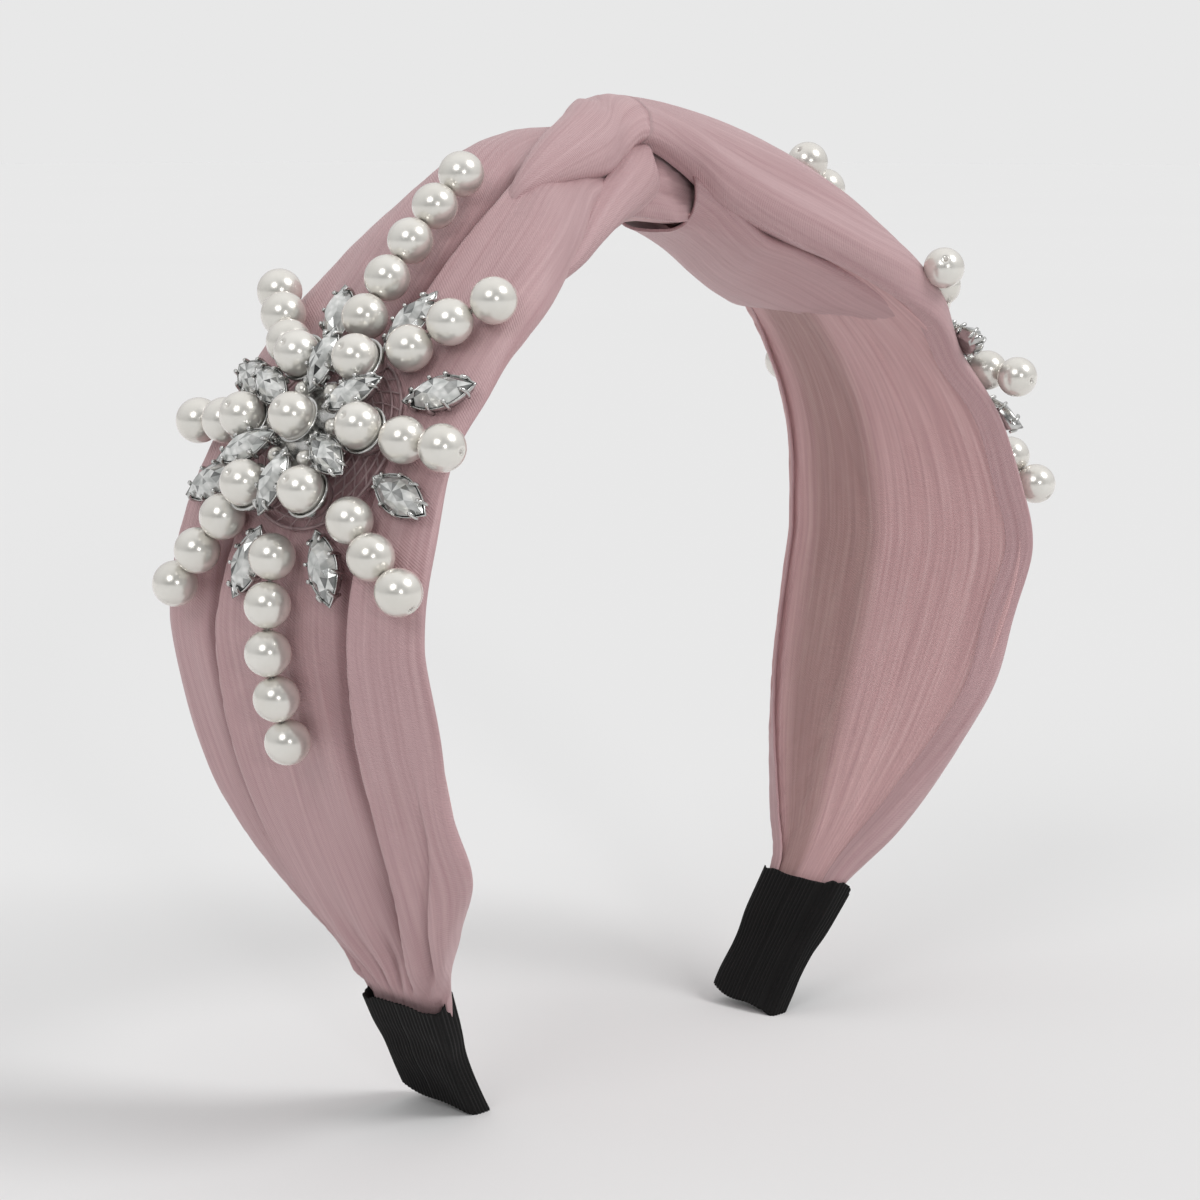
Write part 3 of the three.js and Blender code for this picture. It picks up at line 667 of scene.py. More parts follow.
def arm_row(side, distance, front=None, back=None, front_rim=None):
    """Control points across an arm's cover, from the front hem's inner edge over to the back hem's."""
    sign = SIGN[side]
    front = float(edge_width(side, "front", distance)) if front is None else front
    back = float(edge_width(side, "back", distance)) if back is None else back
    crest, rim = float(crest_height(distance)), float(rim_height(distance))
    rim_front = rim if front_rim is None else front_rim
    hem_front = min(HEM_WIDTH["front"], 0.4 * front)
    hem_back = min(HEM_WIDTH["back"], 0.4 * back)
    points = [(-(front - hem_front), HEM_LEVEL), (-(front - 1.3), HEM_LEVEL), (-front, 0.5 * rim_front)]
    for degrees in (14, 36, 62, 90, 118, 144, 166):
        angle = math.radians(degrees)
        half, low = (front, rim_front) if degrees < 90 else (back, rim)
        points.append((-half * math.cos(angle), low + (crest - low) * math.sin(angle) ** 0.8))
    points += [(back, 0.5 * rim), (back - 1.3, HEM_LEVEL), (back - hem_back, HEM_LEVEL)]
    return [(sign * distance, y, n) for y, n in points]


def pleat(y, middle, lip, depth):
    """A lengthwise overlap: the cloth on the -y side lies over the cloth on the +y side, which dips."""
    d = y - middle
    raised = lip * np.exp(np.minimum(d, 0) / LIP_REACH)
    sunk = -depth * np.exp(-np.maximum(d, 0) / DIP_REACH)
    side = 0.5 + 0.5 * np.tanh(d / LIP_EDGE)
    return raised * (1 - side) + sunk * side


def faded(distance, start, full, drop, end):
    """0 before start, 1 between full and drop, and 0 after end."""
    return smooth((distance - start) / (full - start)) * (1 - smooth((distance - drop) / (end - drop)))


LIP_REACH = 7.0
DIP_REACH = 4.6
LIP_EDGE = 0.28

# Pleats of each arm: the places (distance, y) that each runs through, how far its lip stands up and its
# far side dips, and the distances at which it starts, is full, begins to fade and ends.
PLEATS = {
    "left": [
        ([(30, -8.5), (39, -10.5), (52, -9.5), (66, -7.5), (90, -5)], 0.9, 2.6, (20, 30, 56, 88)),
        ([(84, 8), (108, 12.2), (126, 14.2), (141, 13.2), (156, 9.0),
          (172, 5)], 2.0, 2.8, (84, 106, 156, 169)),
        ([(80, -17), (105, -16.8), (121, -14.2), (142, -12.4), (157, -7.2), (172, -2)], 2.3, 2.9,
         (78, 98, 158, 169)),
        ([(120, -24), (136, -21.5), (156, -13), (172, -6)], 0.6, 0.8, (118, 132, 156, 167)),
    ],
    "right": [
        ([(20, -2), (34, -5), (48, -8.5), (66, -12)], 0.8, 1.6, (20, 30, 50, 74)),
        ([(20, 6), (40, 3.5), (60, -1)], 0.5, 1.1, (20, 32, 50, 78)),
        ([(92, 8), (110, 11), (140, 9), (172, 4)], 1.7, 2.2, (88, 110, 156, 169)),
        ([(92, -12), (110, -15), (140, -11), (172, -3)], 1.9, 2.2, (88, 110, 158, 169)),
        ([(118, -23), (134, -20), (156, -12), (172, -5)], 0.6, 0.8, (116, 130, 156, 167)),
    ],
}
RIBBON_MOUTH = ARCH_LENGTH - RIBBON_LENGTH


def pleated(side, grid):
    """Adds an arm's pleats, its gathers at the neck and its soft unevenness to a grid of (s, y, n)."""
    s, y, n = grid[..., 0], grid[..., 1], grid[..., 2].copy()
    distance = np.abs(s)
    top = smooth((n - 0.7) / 1.2) * smooth(distance / 20 - 1)
    for route, lip, depth, span in PLEATS[side]:
        knots = [d for d, _ in route]
        middle = spline(knots, [v for _, v in route], distance.ravel()).reshape(distance.shape)
        n += top * faded(distance, *span) * pleat(y, middle, lip, depth)
    width = edge_width(side, "front", distance) + edge_width(side, "back", distance)
    gather = smooth((distance - 138) / 30)
    n += top * gather * 0.5 * np.sin(2 * math.pi * 6.5 * y / width + 0.8) * (0.7 + 0.3 * np.sin(distance / 6))
    n += 0.35 * top * np.sin(distance / 9.0 + y / 7.0) * np.sin(y / 4.6 + distance / 31.0)
    held = smooth((distance - RIBBON_MOUTH + 5) / 4)
    n += held * (np.minimum(n, dome_height(side, distance, y) - 0.1) - n)
    return np.stack([s, y, n], -1)


def cloth(name, grid, seed, material, size=1.0, thickness=COVER_THICKNESS, side=1, from_end=False):
    """A piece of cloth through a grid of (s, y, n); side 1 shows its outer face, -1 its head side."""
    points = place(grid[..., 0], grid[..., 1], grid[..., 2])
    outward = side * facing(points)
    return shell(name, crinkled(points, seed, size, outward, from_end), thickness, material, outward)


def facing(points):
    """1 if the grid's normals point away from the middle of the head, -1 if towards it."""
    middle = np.array([0, BAND_Y, ARCH_WIDEST_HEIGHT])
    normals = grid_normals(points)
    return 1 if ((points - middle) * normals).sum(-1).mean() > 0 else -1


LEFT_CROWN_ROWS = [
    [(-14, -8, 3.5), (-14, -9.5, 4.5), (-14, -10.5, 6.0), (-14, -10, 7.6), (-14, -8, 8.8), (-13, -5, 10.5),
     (-12, 1, 14.2), (-12, 6, 15.2), (-12, 10, 12.4), (-12, 11.4, 8.0), (-12, 11.0, 4.0), (-12, 10, 2.2),
     (-12, 8, 2.0)],
    [(-22, -12, 3.6), (-22, -13.4, 4.6), (-23, -14.8, 6.4), (-23, -14, 8.6), (-22, -11.0, 9.6),
     (-21, -6, 11.6),
     (-20, 1.5, 15.8), (-20, 7, 15.6), (-20, 11, 12.0), (-20, 12.4, 7.4), (-20, 12.2, 3.4),
     (-20, 11, 1.6), (-20, 9, 1.4)],
    [(-32, -16.5, 1.0), (-32, -18.6, 1.4), (-32, -20.0, 4.2), (-32, -18.8, 8.0), (-32, -15.2, 11.2),
     (-31, -9, 12.8),
     (-30, 1, 16.0), (-30, 7.5, 14.8), (-30, 12.4, 11.0), (-30, 14.2, 6.2), (-30, 14.2, 2.6),
     (-30, 13, 0.6), (-30, 11.5, 0.6)],
]

# The upper strip of the knot, from its tuck on the left arm to the crown. Each row runs from the strip's
# lower front edge up and over to its back edge.
UPPER_STRIP_ROWS = [
    [(-40.4, -12.0, 8.8), (-40.4, -12.2, 9.4), (-40, -11.8, 10.0), (-39.4, -11.0, 10.0), (-39, -10.6, 9.4)],
    [(-36.2, -11.6, 10.0), (-36.6, -12.9, 10.8), (-35.6, -13.2, 12.2), (-34.2, -12.2, 13.4),
     (-33.2, -10.6, 13.9),
     (-33, -9.2, 12.6)],
    [(-29.2, -11.8, 9.4), (-29.4, -13.5, 10.8), (-28.0, -13.6, 13.0), (-26.4, -12.0, 15.2),
     (-25.2, -9.6, 16.6),
     (-24.6, -7.2, 16.4), (-24.4, -5.6, 14.4)],
    [(-23.2, -11.0, 8.6), (-23.6, -13.0, 10.2), (-22.2, -12.9, 12.8), (-20.4, -10.8, 15.6),
     (-18.6, -7.4, 17.8),
     (-17.2, -3.8, 17.6), (-16.6, -1.4, 15.2)],
    [(-15.4, -9.8, 7.8), (-16.0, -11.8, 9.4), (-14.8, -11.6, 13.0), (-12.6, -8.4, 16.8), (-10.8, -4.0, 19.0),
     (-9.4, 0.8, 19.2), (-9.0, 3.8, 17.0), (-9, 6.0, 14.0)],
    [(-9.8, -8.6, 9.6), (-10.4, -10.3, 11.2), (-9.4, -9.8, 14.0), (-7.6, -7.2, 17.2), (-6.0, -2.8, 19.3),
     (-5.2, 2.2, 19.4), (-5.0, 6.6, 17.4), (-5, 9.6, 13.0), (-5, 10.2, 8.0), (-5, 9.0, 5.0)],
]
CROWN_SEAM_ROW = [
    (-5.4, -7.4, 11.4), (-5.4, -9.2, 12.6), (-4.6, -9.4, 14.6), (-3.4, -7.0, 17.4), (-2.4, -2.6, 19.2),
    (-2, 2.2, 19.3), (-2, 7.0, 17.2), (-2, 10.2, 12.5), (-2, 10.6, 7.5), (-2, 9.4, 4.0),
]
# The right arm's upper sheet from the crown on: its fold over the front edge, a crease, and the crest.
RIGHT_CROWN_ROWS = [
    [(4, -7.0, 7.4), (4, -9.8, 8.4), (3.5, -11.0, 10.4), (3, -10.2, 12.2), (3, -8.9, 15.0), (3, -4.5, 17.9),
     (3, 1, 18.9), (3, 6, 17), (3, 9.8, 12), (3, 10.6, 7), (3, 9.4, 3)],
    [(11, -8.5, 2.6), (10, -11.6, 3.4), (9.5, -13.2, 6.2), (9.5, -12.9, 8.6), (9.5, -11.4, 10.0),
     (9.5, -10.6, 13.2), (9.5, -5.5, 16.9), (9.5, 1, 18.2), (9, 6.5, 16.6), (9, 10.6, 11.5), (9, 11.4, 6.5),
     (9, 10.4, 2.2), (9, 9, 1.6)],
    [(19, -9.5, 0.4), (18, -13.4, 0.4), (17.5, -15.6, 3.2), (17.5, -15.2, 6.4), (17.5, -13.4, 8.0),
     (17.5, -12.8, 11.2), (17.5, -7.5, 15.4), (17.5, 0, 17.4), (17.5, 6.5, 16), (17.5, 11.4, 11.4),
     (17.5, 12.6, 6), (17.5, 11.8, 1.6), (17.5, 10, 0.8)],
    [(29, -11, -0.5), (28, -15.2, -1.1), (27.5, -17.6, 1.6), (27.5, -17.2, 4.8), (27.5, -15.2, 6.9),
     (27.5, -14.6, 10.2), (27.5, -9, 14.2), (27.5, -1, 15.8), (27.5, 6.5, 14.9), (27.5, 12, 10.8),
     (27.5, 13.8, 5.4), (27.5, 13.2, 1.0), (27.5, 11.5, 0.4)],
    [(39, -12.4, 0.2), (38, -17.2, -0.9), (38, -19.6, 1.2), (38, -19.6, 4.2), (38, -17.8, 6.2),
     (38, -17.0, 9.2),
     (38, -11, 12.2), (38, -2, 12.7), (38, 7, 11.6), (38, 13.2, 8.6), (38, 15.6, 4.4), (38, 15.4, 1),
     (38, 13.8, 0.3)],
    [(49, -15, 0.8), (48, -19.0, -0.3), (48, -21.2, 1.4), (48, -21.4, 3.8), (48, -20.0, 5.8),
     (48, -18.2, 8.4),
     (48, -12.4, 10.2), (48, -2, 9.5), (48, 7.5, 8.6), (48, 15, 6.6), (48, 18, 3.6), (48, 17.6, 0.8),
     (48, 16, 0.3)],
    [(58, -18.0, 0.6), (58, -21.2, 0.2), (58, -22.8, 1.4), (58, -22.6, 3.8), (58, -21.2, 5.8),
     (58, -18.2, 7.8),
     (58, -12.4, 7.8), (58, -2, 6.8), (58, 8, 6.3), (58, 16, 5.0), (58, 20.6, 2.6), (58, 20.0, 0.4),
     (58, 18, 0.3)],
]
# The narrow strip that leaves the crevice of the knot and joins the left arm's front edge.
FRONT_STRIP_ROWS = [
    [(-5, -6.5, 12.6), (-4.4, -8, 11.8), (-3.6, -8.4, 10.8), (-2.8, -7.4, 9.8)],
    [(-8.8, -8.3, 11.4), (-7.6, -10.3, 9.6), (-5.4, -11.0, 7.2), (-3.2, -9.6, 5.2)],
    [(-13.6, -10, 9.0), (-12.8, -12.6, 7.2), (-10.6, -13.2, 4.8), (-8.0, -11.2, 2.4)],
    [(-20.4, -13, 6.8), (-20, -15.6, 5.2), (-18.2, -15.9, 2.8), (-15.6, -13.6, 1.2)],
    [(-27.6, -16.8, 4.8), (-27.6, -18.8, 3.2), (-26.6, -18.4, 1.0), (-24.4, -15.6, 0.0)],
    [(-35, -20.6, 3.4), (-35.4, -21.8, 2.0), (-35, -21, 0.3), (-33, -18.6, -0.4)],
    [(-44.4, -22.4, 3.0), (-44.8, -23.2, 1.9), (-44.4, -22.6, 0.9), (-43.4, -20.6, 0.8)],
]
# The gathered cloth deep in the crevice of the knot, from under the core's front edge up into the tuck.
INNER_WRAP_ROWS = [
    [(-14, -5.8, 0.95), (-14, -7.8, 1.1), (-14, -9.2, 2.4), (-14, -8.8, 5), (-14, -7.6, 7.6), (-14, -6, 9.4)],
    [(-9, -5.8, 0.95), (-9, -8.2, 0.6), (-9, -9.4, 2.4), (-9, -8.8, 5.4), (-9, -7.0, 8.4), (-9, -5, 10.6)],
    [(-4, -5.8, 0.95), (-4, -7.8, -0.2), (-4, -9.0, 1.8), (-4, -7.8, 5.0), (-4, -6.4, 8.6), (-4, -4, 11.4)],
    [(0.5, -5.8, 0.95), (0.5, -8.0, -0.8), (0.5, -9.2, 1.2), (0.5, -7.2, 4.4), (0.5, -7.0, 7.8),
     (0.5, -4, 11.2)],
    [(4, -5.6, 0.8), (4, -6.8, -0.9), (4, -7.6, 0.6), (4, -6.3, 3.6), (4, -6.0, 7.0), (4, -4, 10.0)],
    [(8, -4.6, 0.6), (8, -5.6, -0.6), (8, -6.2, 0.6), (8, -6.1, 2.6), (8, -5.8, 5.0), (8, -4, 8.4)],
    [(12, -2.6, 0.4), (12, -4.4, -0.6), (12, -5.9, 0.6), (12, -5.9, 2.0), (12, -5.4, 4.0), (12, -4, 7.0)],
]
REAR_WRAP_PROFILE = [(5.8, 0.95), (7.9, 0.9), (9.0, 2.2), (9.0, 5.0), (8.4, 8.0), (6.6, 10.6), (3.4, 12.4)]
REAR_WRAP_ROWS = [[(s, y, n) for y, n in REAR_WRAP_PROFILE] for s in (-17, -10, -3, 4, 9)]
# The lobe that hangs under the right side of the knot, from its hidden top edge to its rolled lower edge.
LOWER_LOBE_ROWS = [
    [(5, -6.4, 8.6), (5.6, -8, 7.0), (6.4, -8.2, 4.6), (7.4, -7.2, 1.8), (8, -4, -1.2), (8.4, 2, -1.9),
     (8.4, 8, -1.2), (8.4, 10.8, 1.4)],
    [(9, -7.4, 6.6), (10, -9.2, 4.6), (11.4, -8.6, 1.8), (12.4, -5.4, -1.0), (13, 0, -2.4), (13.2, 6, -2.4),
     (13.2, 10.6, -1.0), (13, 12.2, 1.4)],
    [(14, -8, 3.8), (15, -10, 1.8), (17, -8.0, -1.0), (18.6, -3.0, -3.0), (19.8, 2.4, -3.8), (20.4, 8, -3.6),
     (20.4, 12, -1.8), (20, 13.2, 1.4)],
    [(22, -8, 1.2), (23, -10.2, -1.2), (26, -5.2, -3.4), (28.4, 1.6, -5.0), (30.2, 8, -5.4),
     (31.2, 12.2, -4.4),
     (31.4, 14.4, -2.0), (31, 14.9, 1.4)],
    [(30, -8.6, 1.2), (31, -11, -0.8), (34.4, -4.2, -3.0), (37, 3, -4.8), (39, 10, -5.4), (40.2, 14.4, -4.2),
     (40.2, 16.6, -1.8), (39.8, 17.0, 1.4)],
    [(40, -10.6, 1.8), (41, -12.6, 0.0), (44, -4.6, -2.0), (46, 2.6, -3.4), (47.2, 9.4, -4.0),
     (47.8, 15, -3.2),
     (47.8, 18.4, -1.2), (47.4, 18.9, 1.2)],
    [(48, -14, 2.4), (49, -15.2, 1.0), (50.8, -8.6, -0.8), (51.8, -1.4, -1.8), (52, 6, -2.2), (52, 13, -1.8),
     (52, 18.6, -1.0), (51.8, 20.0, 0.6)],
    [(54, -17, 2.6), (55, -17.2, 1.8), (55.8, -13, 0.6), (56, -8, 0.1), (56, -2, 0.0), (56, 4, 0.1),
     (56, 10, 0.4), (56, 14, 0.8)],
    [(58, -19.2, 2.6), (58.6, -19.4, 2.0), (59, -16, 1.3), (59, -11, 1.0), (59, -5, 1.0), (59, 1, 1.0),
     (59, 7, 1.0), (59, 11, 1.1)],
]
ROW_POINTS = 13


def evenly(points, count=ROW_POINTS):
    """The same curve with count evenly spaced points."""
    points = np.asarray(points, float)
    knots = np.concatenate([[0], np.cumsum(np.linalg.norm(np.diff(points, axis=0), axis=1))])
    return spline(knots, points, np.linspace(0, knots[-1], count))


def arm_rows(side, first, last=NECK_END, steps=14):
    """Rows of control points down an arm, evenly spaced from one distance to another."""
    return [evenly(arm_row(side, d)) for d in np.linspace(first, last, steps)]


def fit_knot_rows(rows):
    """The knot's rows with as many points each as an arm's rows."""
    return [evenly(row) for row in rows]


def wavy_hem(grid, seed, first, last):
    """Lets the front hem's inner edge wander, as a hand-turned hem does."""
    draw = random.Random(seed)
    phases = [draw.uniform(0, 7) for _ in range(3)]
    s, y, n = (grid[..., i].copy() for i in range(3))
    distance = np.abs(s)
    share = np.linspace(0, 1, grid.shape[1])[None, :]
    near_edge = smooth((0.16 - share) / 0.12) * faded(distance, first, first + 12, last - 12, last)
    wave = np.sin(distance / 4.1 + phases[0]) + 0.6 * np.sin(distance / 7.3 + phases[1])
    y += near_edge * 0.55 * wave
    n += near_edge * 0.12 * np.sin(distance / 3.1 + phases[2])
    return np.stack([s, y, n], -1)


def bend_at_hinge(piece):
    """Bakes a piece of cloth's placement into its mesh."""
    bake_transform(piece)


def split_grid(net, first=0, last=-1):
    """A net of control points split as finely as every piece of cloth is."""
    return dense(net, ALONG_STEP, ACROSS_STEP, first, last)


def make_left_cover():
    """The left satin strip, from its part in the knot to the ribbon."""
    net = fit_knot_rows(LEFT_CROWN_ROWS) + arm_rows("left", 40)
    grid = wavy_hem(pleated("left", split_grid(net)), 3, 60, 165)
    piece = cloth("cover_left_satin", grid, 11, SATIN, COVER_CRINKLE)
    bend_at_hinge(piece)
    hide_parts("cover_left", "knot_left_loop")


def make_right_cover():
    """The right satin strip, from the crown to the ribbon."""
    net = fit_knot_rows([UPPER_STRIP_ROWS[-1], CROWN_SEAM_ROW] + RIGHT_CROWN_ROWS) + arm_rows("right", 68)
    grid = wavy_hem(pleated("right", split_grid(net, first=1)), 5, 62, 165)
    piece = cloth("cover_right_satin", grid, 12, SATIN, COVER_CRINKLE)
    bend_at_hinge(piece)
    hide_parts("cover_right")


def make_upper_strip():
    """The right strip's end, which crosses the knot and tucks in on the left arm."""
    net = fit_knot_rows(UPPER_STRIP_ROWS + [CROWN_SEAM_ROW, RIGHT_CROWN_ROWS[0]])
    piece = cloth("knot_upper_strip", split_grid(net, last=-2), 12, SATIN, COVER_CRINKLE, from_end=True)
    bend_at_hinge(piece)
    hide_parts("knot_right_loop")


def make_front_strip():
    """The narrow strip along the knot's front."""
    piece = cloth("knot_front_strip", split_grid(FRONT_STRIP_ROWS), 14, SATIN, COVER_CRINKLE)
    bend_at_hinge(piece)


def make_wrap(name, rows, seed):
    """Cloth wrapped round the core inside the knot, which closes the knot's opening."""
    net = [evenly(row, 7) for row in rows]
    piece = cloth(name, split_grid(net), seed, SATIN, 1.2)
    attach(piece, "crown")


def make_lower_lobe():
    """The fold that hangs under the knot on the right arm."""
    net = [evenly(row, 11) for row in LOWER_LOBE_ROWS]
    piece = cloth("knot_lower_lobe", split_grid(net), 15, SATIN, COVER_CRINKLE)
    bend_at_hinge(piece)


# ---- Lining -------------------------------------------------------------------------------------------

LINING_THICKNESS = 0.4
LINING_SHARES = [-1, -0.72, -0.45, -0.2, 0, 0.2, 0.45, 0.72, 1]
# (distance from the crown, front half width, back half width, sag in the middle)
LINING_CROWN_ROWS = [
    (0, 7.4, 8.2, 1.0),
    (8, 6.3, 9.0, 1.2),
    (18, 8.2, 10.5, 0.8),
    (28, 11.4, 12.4, 0.6),
    (40, 16.0, 15.0, 0.4),
]


def make_lining(side):
    """The head side of an arm, from the crown to the neck, bulging a little where it covers the core."""
    sign = SIGN[side]
    rows = list(LINING_CROWN_ROWS)
    for distance in np.linspace(52, NECK_END, 12):
        front = float(edge_width(side, "front", distance)) - 1.6
        back = float(edge_width(side, "back", distance)) - 1.4
        rows.append((distance, front, back, 0.3))
    net = []
    for distance, front, back, sag in rows:
        net.append([
            (sign * distance, share * (front if share < 0 else back), 0.5 - (sag + 0.2) * (1 - share ** 2))
            for share in LINING_SHARES
        ])
    grid = split_grid(net)
    s, y, n = grid[..., 0], grid[..., 1], grid[..., 2]
    core = smooth((CORE_HALF_WIDTH + 1.2 - np.abs(y)) / 1.6) * smooth(np.abs(s) / 30 - 0.6)
    grid = np.stack([s, y, n - 0.35 * core], -1)
    piece = cloth("lining_" + side + "_satin", grid, 21 if side == "left" else 22, PALER_LINING, 0.8,
                  LINING_THICKNESS, -1)
    bend_at_hinge(piece)
    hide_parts("lining_" + side, *(["lining_crown"] if side == "left" else []))


# ---- Ribbon-wrapped tips ------------------------------------------------------------------------------

RIB_PITCH = 0.82
RIB_DEPTH = 0.09
# How high the back corner of the ribbon's slanting end stands above the floor.
RIBBON_SLANT = 3.0
RIBBON_COLUMNS = 420
RIBBON_ROWS = 64
# How high above the arch the middle of the ribbon's mouth lies, which its rolled rim shrinks towards.
MOUTH_MIDDLE = 1.8


def ribbon_outline(t, angles):
    """The ribbon's outside at a share t of its length: a rounded slab, as (y, n) at angles round it."""
    half = RIBBON_MOUTH_HALF_WIDTH + (RIBBON_TIP_HALF_WIDTH - RIBBON_MOUTH_HALF_WIDTH) * t
    bottom, top = -1.1 + 0.3 * t, 4.7 - t
    middle, tall = (bottom + top) / 2, (top - bottom) / 2
    power = 2 / 5.0
    y = half * np.sign(np.cos(angles)) * np.abs(np.cos(angles)) ** power
    n = middle + tall * np.sign(np.sin(angles)) * np.abs(np.sin(angles)) ** power
    return y, n


def make_ribbon(side):
    """A ribbed ribbon wrapped round the tip, lapped over itself on one side, with a rolled mouth."""
    sign = SIGN[side]
    mouth = ARCH_LENGTH - RIBBON_LENGTH
    around = RIBBON_COLUMNS
    raw = np.linspace(0, 2 * math.pi, 4000)
    y, n = ribbon_outline(0, raw)
    length = np.concatenate([[0], np.cumsum(np.hypot(np.diff(y), np.diff(n)))])
    measure = np.linspace(0, length[-1], around, endpoint=False)
    angles = np.interp(measure, length, raw)
    draw = random.Random(31 if side == "left" else 32)
    turns = [draw.uniform(0, 7) for _ in range(4)]
    lap = 0.45 * smooth((measure - 0.62 * length[-1]) / 0.5) * (1 - smooth((measure - 0.93 * length[-1]) / 6))
    ribs = RIB_DEPTH * np.sin(2 * math.pi * measure / RIB_PITCH)
    points = []
    end_height = RIBBON_SLANT * smooth((np.cos(angles) + 1) / 2)
    for t in np.linspace(0, 1, RIBBON_ROWS):
        # The ribbon is loose only between its mouth, which the fabric fills, and its end.
        loose = smooth((t - 0.22) / 0.3) * (1 - t ** 4)
        y, n = ribbon_outline(t, angles)
        wave = 0.5 * np.sin(3 * angles + turns[0]) + 0.3 * np.sin(7 * angles + turns[1])
        start = mouth - 0.8 + wave * (1 - t)
        end = tip_distance(sign, y, n, end_height)
        s = sign * (start + (end - start) * t)
        bulge = (0.35 * np.sin(t * 9 + turns[2]) * np.sin(2 * angles + turns[3]) - 0.35) * loose
        out = np.stack([np.cos(angles), np.sin(angles)], -1) * (ribs + lap + bulge)[:, None]
        points.append(place(s, y + out[:, 0], n + out[:, 1]))
    points = np.array(points)
    points[-1, :, 2] = end_height
    mouth_y, mouth_n = ribbon_outline(0, angles)
    mouth_rows = []
    for depth, width, height in ((2.5, 0.93, 0.8), (0.6, 0.93, 0.8), (-0.35, 0.975, 0.93)):
        rim_n = MOUTH_MIDDLE + height * (mouth_n - MOUTH_MIDDLE)
        mouth_rows.append(place(sign * (mouth + depth), width * mouth_y, rim_n))
    points = np.concatenate([np.array(mouth_rows), points])
    count = len(points)
    faces = grid_faces(count, around, closed=True)
    faces.append(tuple(range(around))[::-1])
    faces.append(tuple((count - 1) * around + i for i in range(around)))
    along = arc_lengths(points, 0).mean(1)
    uv = np.stack(np.broadcast_arrays(measure[None, :], along[:, None]), -1).reshape(-1, 2) / 10
    piece = mesh_object("ribbon_" + side + "_wrap", points.reshape(-1, 3), faces, RIBBON, uv)
    turn_outward(piece)
    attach(piece, side + "_arm")
    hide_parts("ribbon_" + side)


def tip_distance(sign, y, n, end_height):
    """The distance along the arch at which points at (y, n) reach a height above the floor."""
    distance = np.full_like(y, ARCH_LENGTH)
    for _ in range(6):
        height = place(sign * distance, y, n)[:, 2] - end_height
        deeper = place(sign * (distance + 0.5), y, n)[:, 2] - end_height
        distance = distance + height * 0.5 / (height - deeper)
    return distance


# ---- Applique -----------------------------------------------------------------------------------------

class AppliqueMap:
    """The applique's own map of the fabric: a runs towards the tip along the crest, b across the band."""

    def __init__(self, side):
        self.side = side
        self.sign = SIGN[side]
        self.distance = np.linspace(0, ARCH_LENGTH, 401)
        crest = place(self.distance, 0, crest_height(self.distance))
        self.length = np.concatenate([[0], np.cumsum(np.linalg.norm(np.diff(crest, axis=0), axis=1))])
        middle, self.y = APPLIQUE_MIDDLE[side]
        self.origin = np.interp(middle, self.distance, self.length)

    def surface(self, a, b):
        distance = float(np.interp(self.origin + a, self.length, self.distance))
        height = float(dome_height(self.side, distance, self.y + b))
        point = place(self.sign * distance, self.y + b, height)
        return Vector(point)

    def frame(self, a, b):
        """The point, and the directions towards the tip, towards the back and outward."""
        step = 0.4
        along = (self.surface(a + step, b) - self.surface(a - step, b)).normalized()
        across = self.surface(a, b + step) - self.surface(a, b - step)
        outward = along.cross(across).normalized() * self.sign
        across = outward.cross(along) * self.sign
        return self.surface(a, b), along, across, outward

    def matrix(self, a, b, angle=0.0, lift=0.0):
        """Places a shape made in (towards tip, towards back, outward) on the fabric, turned and lifted."""
        point, along, across, outward = self.frame(a, b)
        x_axis = along * math.cos(angle) + across * math.sin(angle)
        y_axis = across * math.cos(angle) - along * math.sin(angle)
        matrix = Matrix((x_axis, y_axis, outward)).transposed().to_4x4()
        return Matrix.Translation(point + outward * lift) @ matrix


def moved(points, matrix):
    """Points put through a matrix."""
    return [matrix @ Vector(p) for p in points]


def join_parts(parts):
    """One list of vertices and one of faces from several."""
    vertices, faces = [], []
    for part_vertices, part_faces in parts:
        offset = len(vertices)
        vertices.extend(part_vertices)
        faces.extend(tuple(offset + i for i in face) for face in part_faces)
    return vertices, faces


def lathe(profile, segments, centre=(0, 0, 0), axis=Vector((0, 0, 1))):
    """A closed turned shape: profile is (radius, height) from one end on the axis to the other."""
    turn = Vector((0, 0, 1)).rotation_difference(axis)
    centre = Vector(centre)
    vertices = [centre + turn @ Vector((0, 0, profile[0][1]))]
    for radius, height in profile[1:-1]:
        for i in range(segments):
            angle = 2 * math.pi * i / segments
            point = Vector((radius * math.cos(angle), radius * math.sin(angle), height))
            vertices.append(centre + turn @ point)
    vertices.append(centre + turn @ Vector((0, 0, profile[-1][1])))
    faces = []
    rings = len(profile) - 2
    for i in range(segments):
        j = (i + 1) % segments
        faces.append((0, 1 + j, 1 + i))
        for r in range(rings - 1):
            a, b = 1 + r * segments + i, 1 + r * segments + j
            faces.append((a, b, b + segments, a + segments))
        last = 1 + (rings - 1) * segments
        faces.append((last + i, last + j, len(vertices) - 1))
    return vertices, faces


def pearl(centre, axis, radius=PEARL_RADIUS):
    """A pearl with its drill holes, which have slightly raised lips, along axis."""
    hole = 0.16 * radius
    profile = [(0, -0.9 * radius), (0.7 * hole, -0.93 * radius)]
    for i in range(25):
        latitude = math.radians(-81 + 162 * i / 24)
        profile.append((radius * math.cos(latitude), radius * math.sin(latitude)))
    profile += [(0.7 * hole, 0.93 * radius), (0, 0.9 * radius)]
    return lathe(profile, 40, centre, axis)


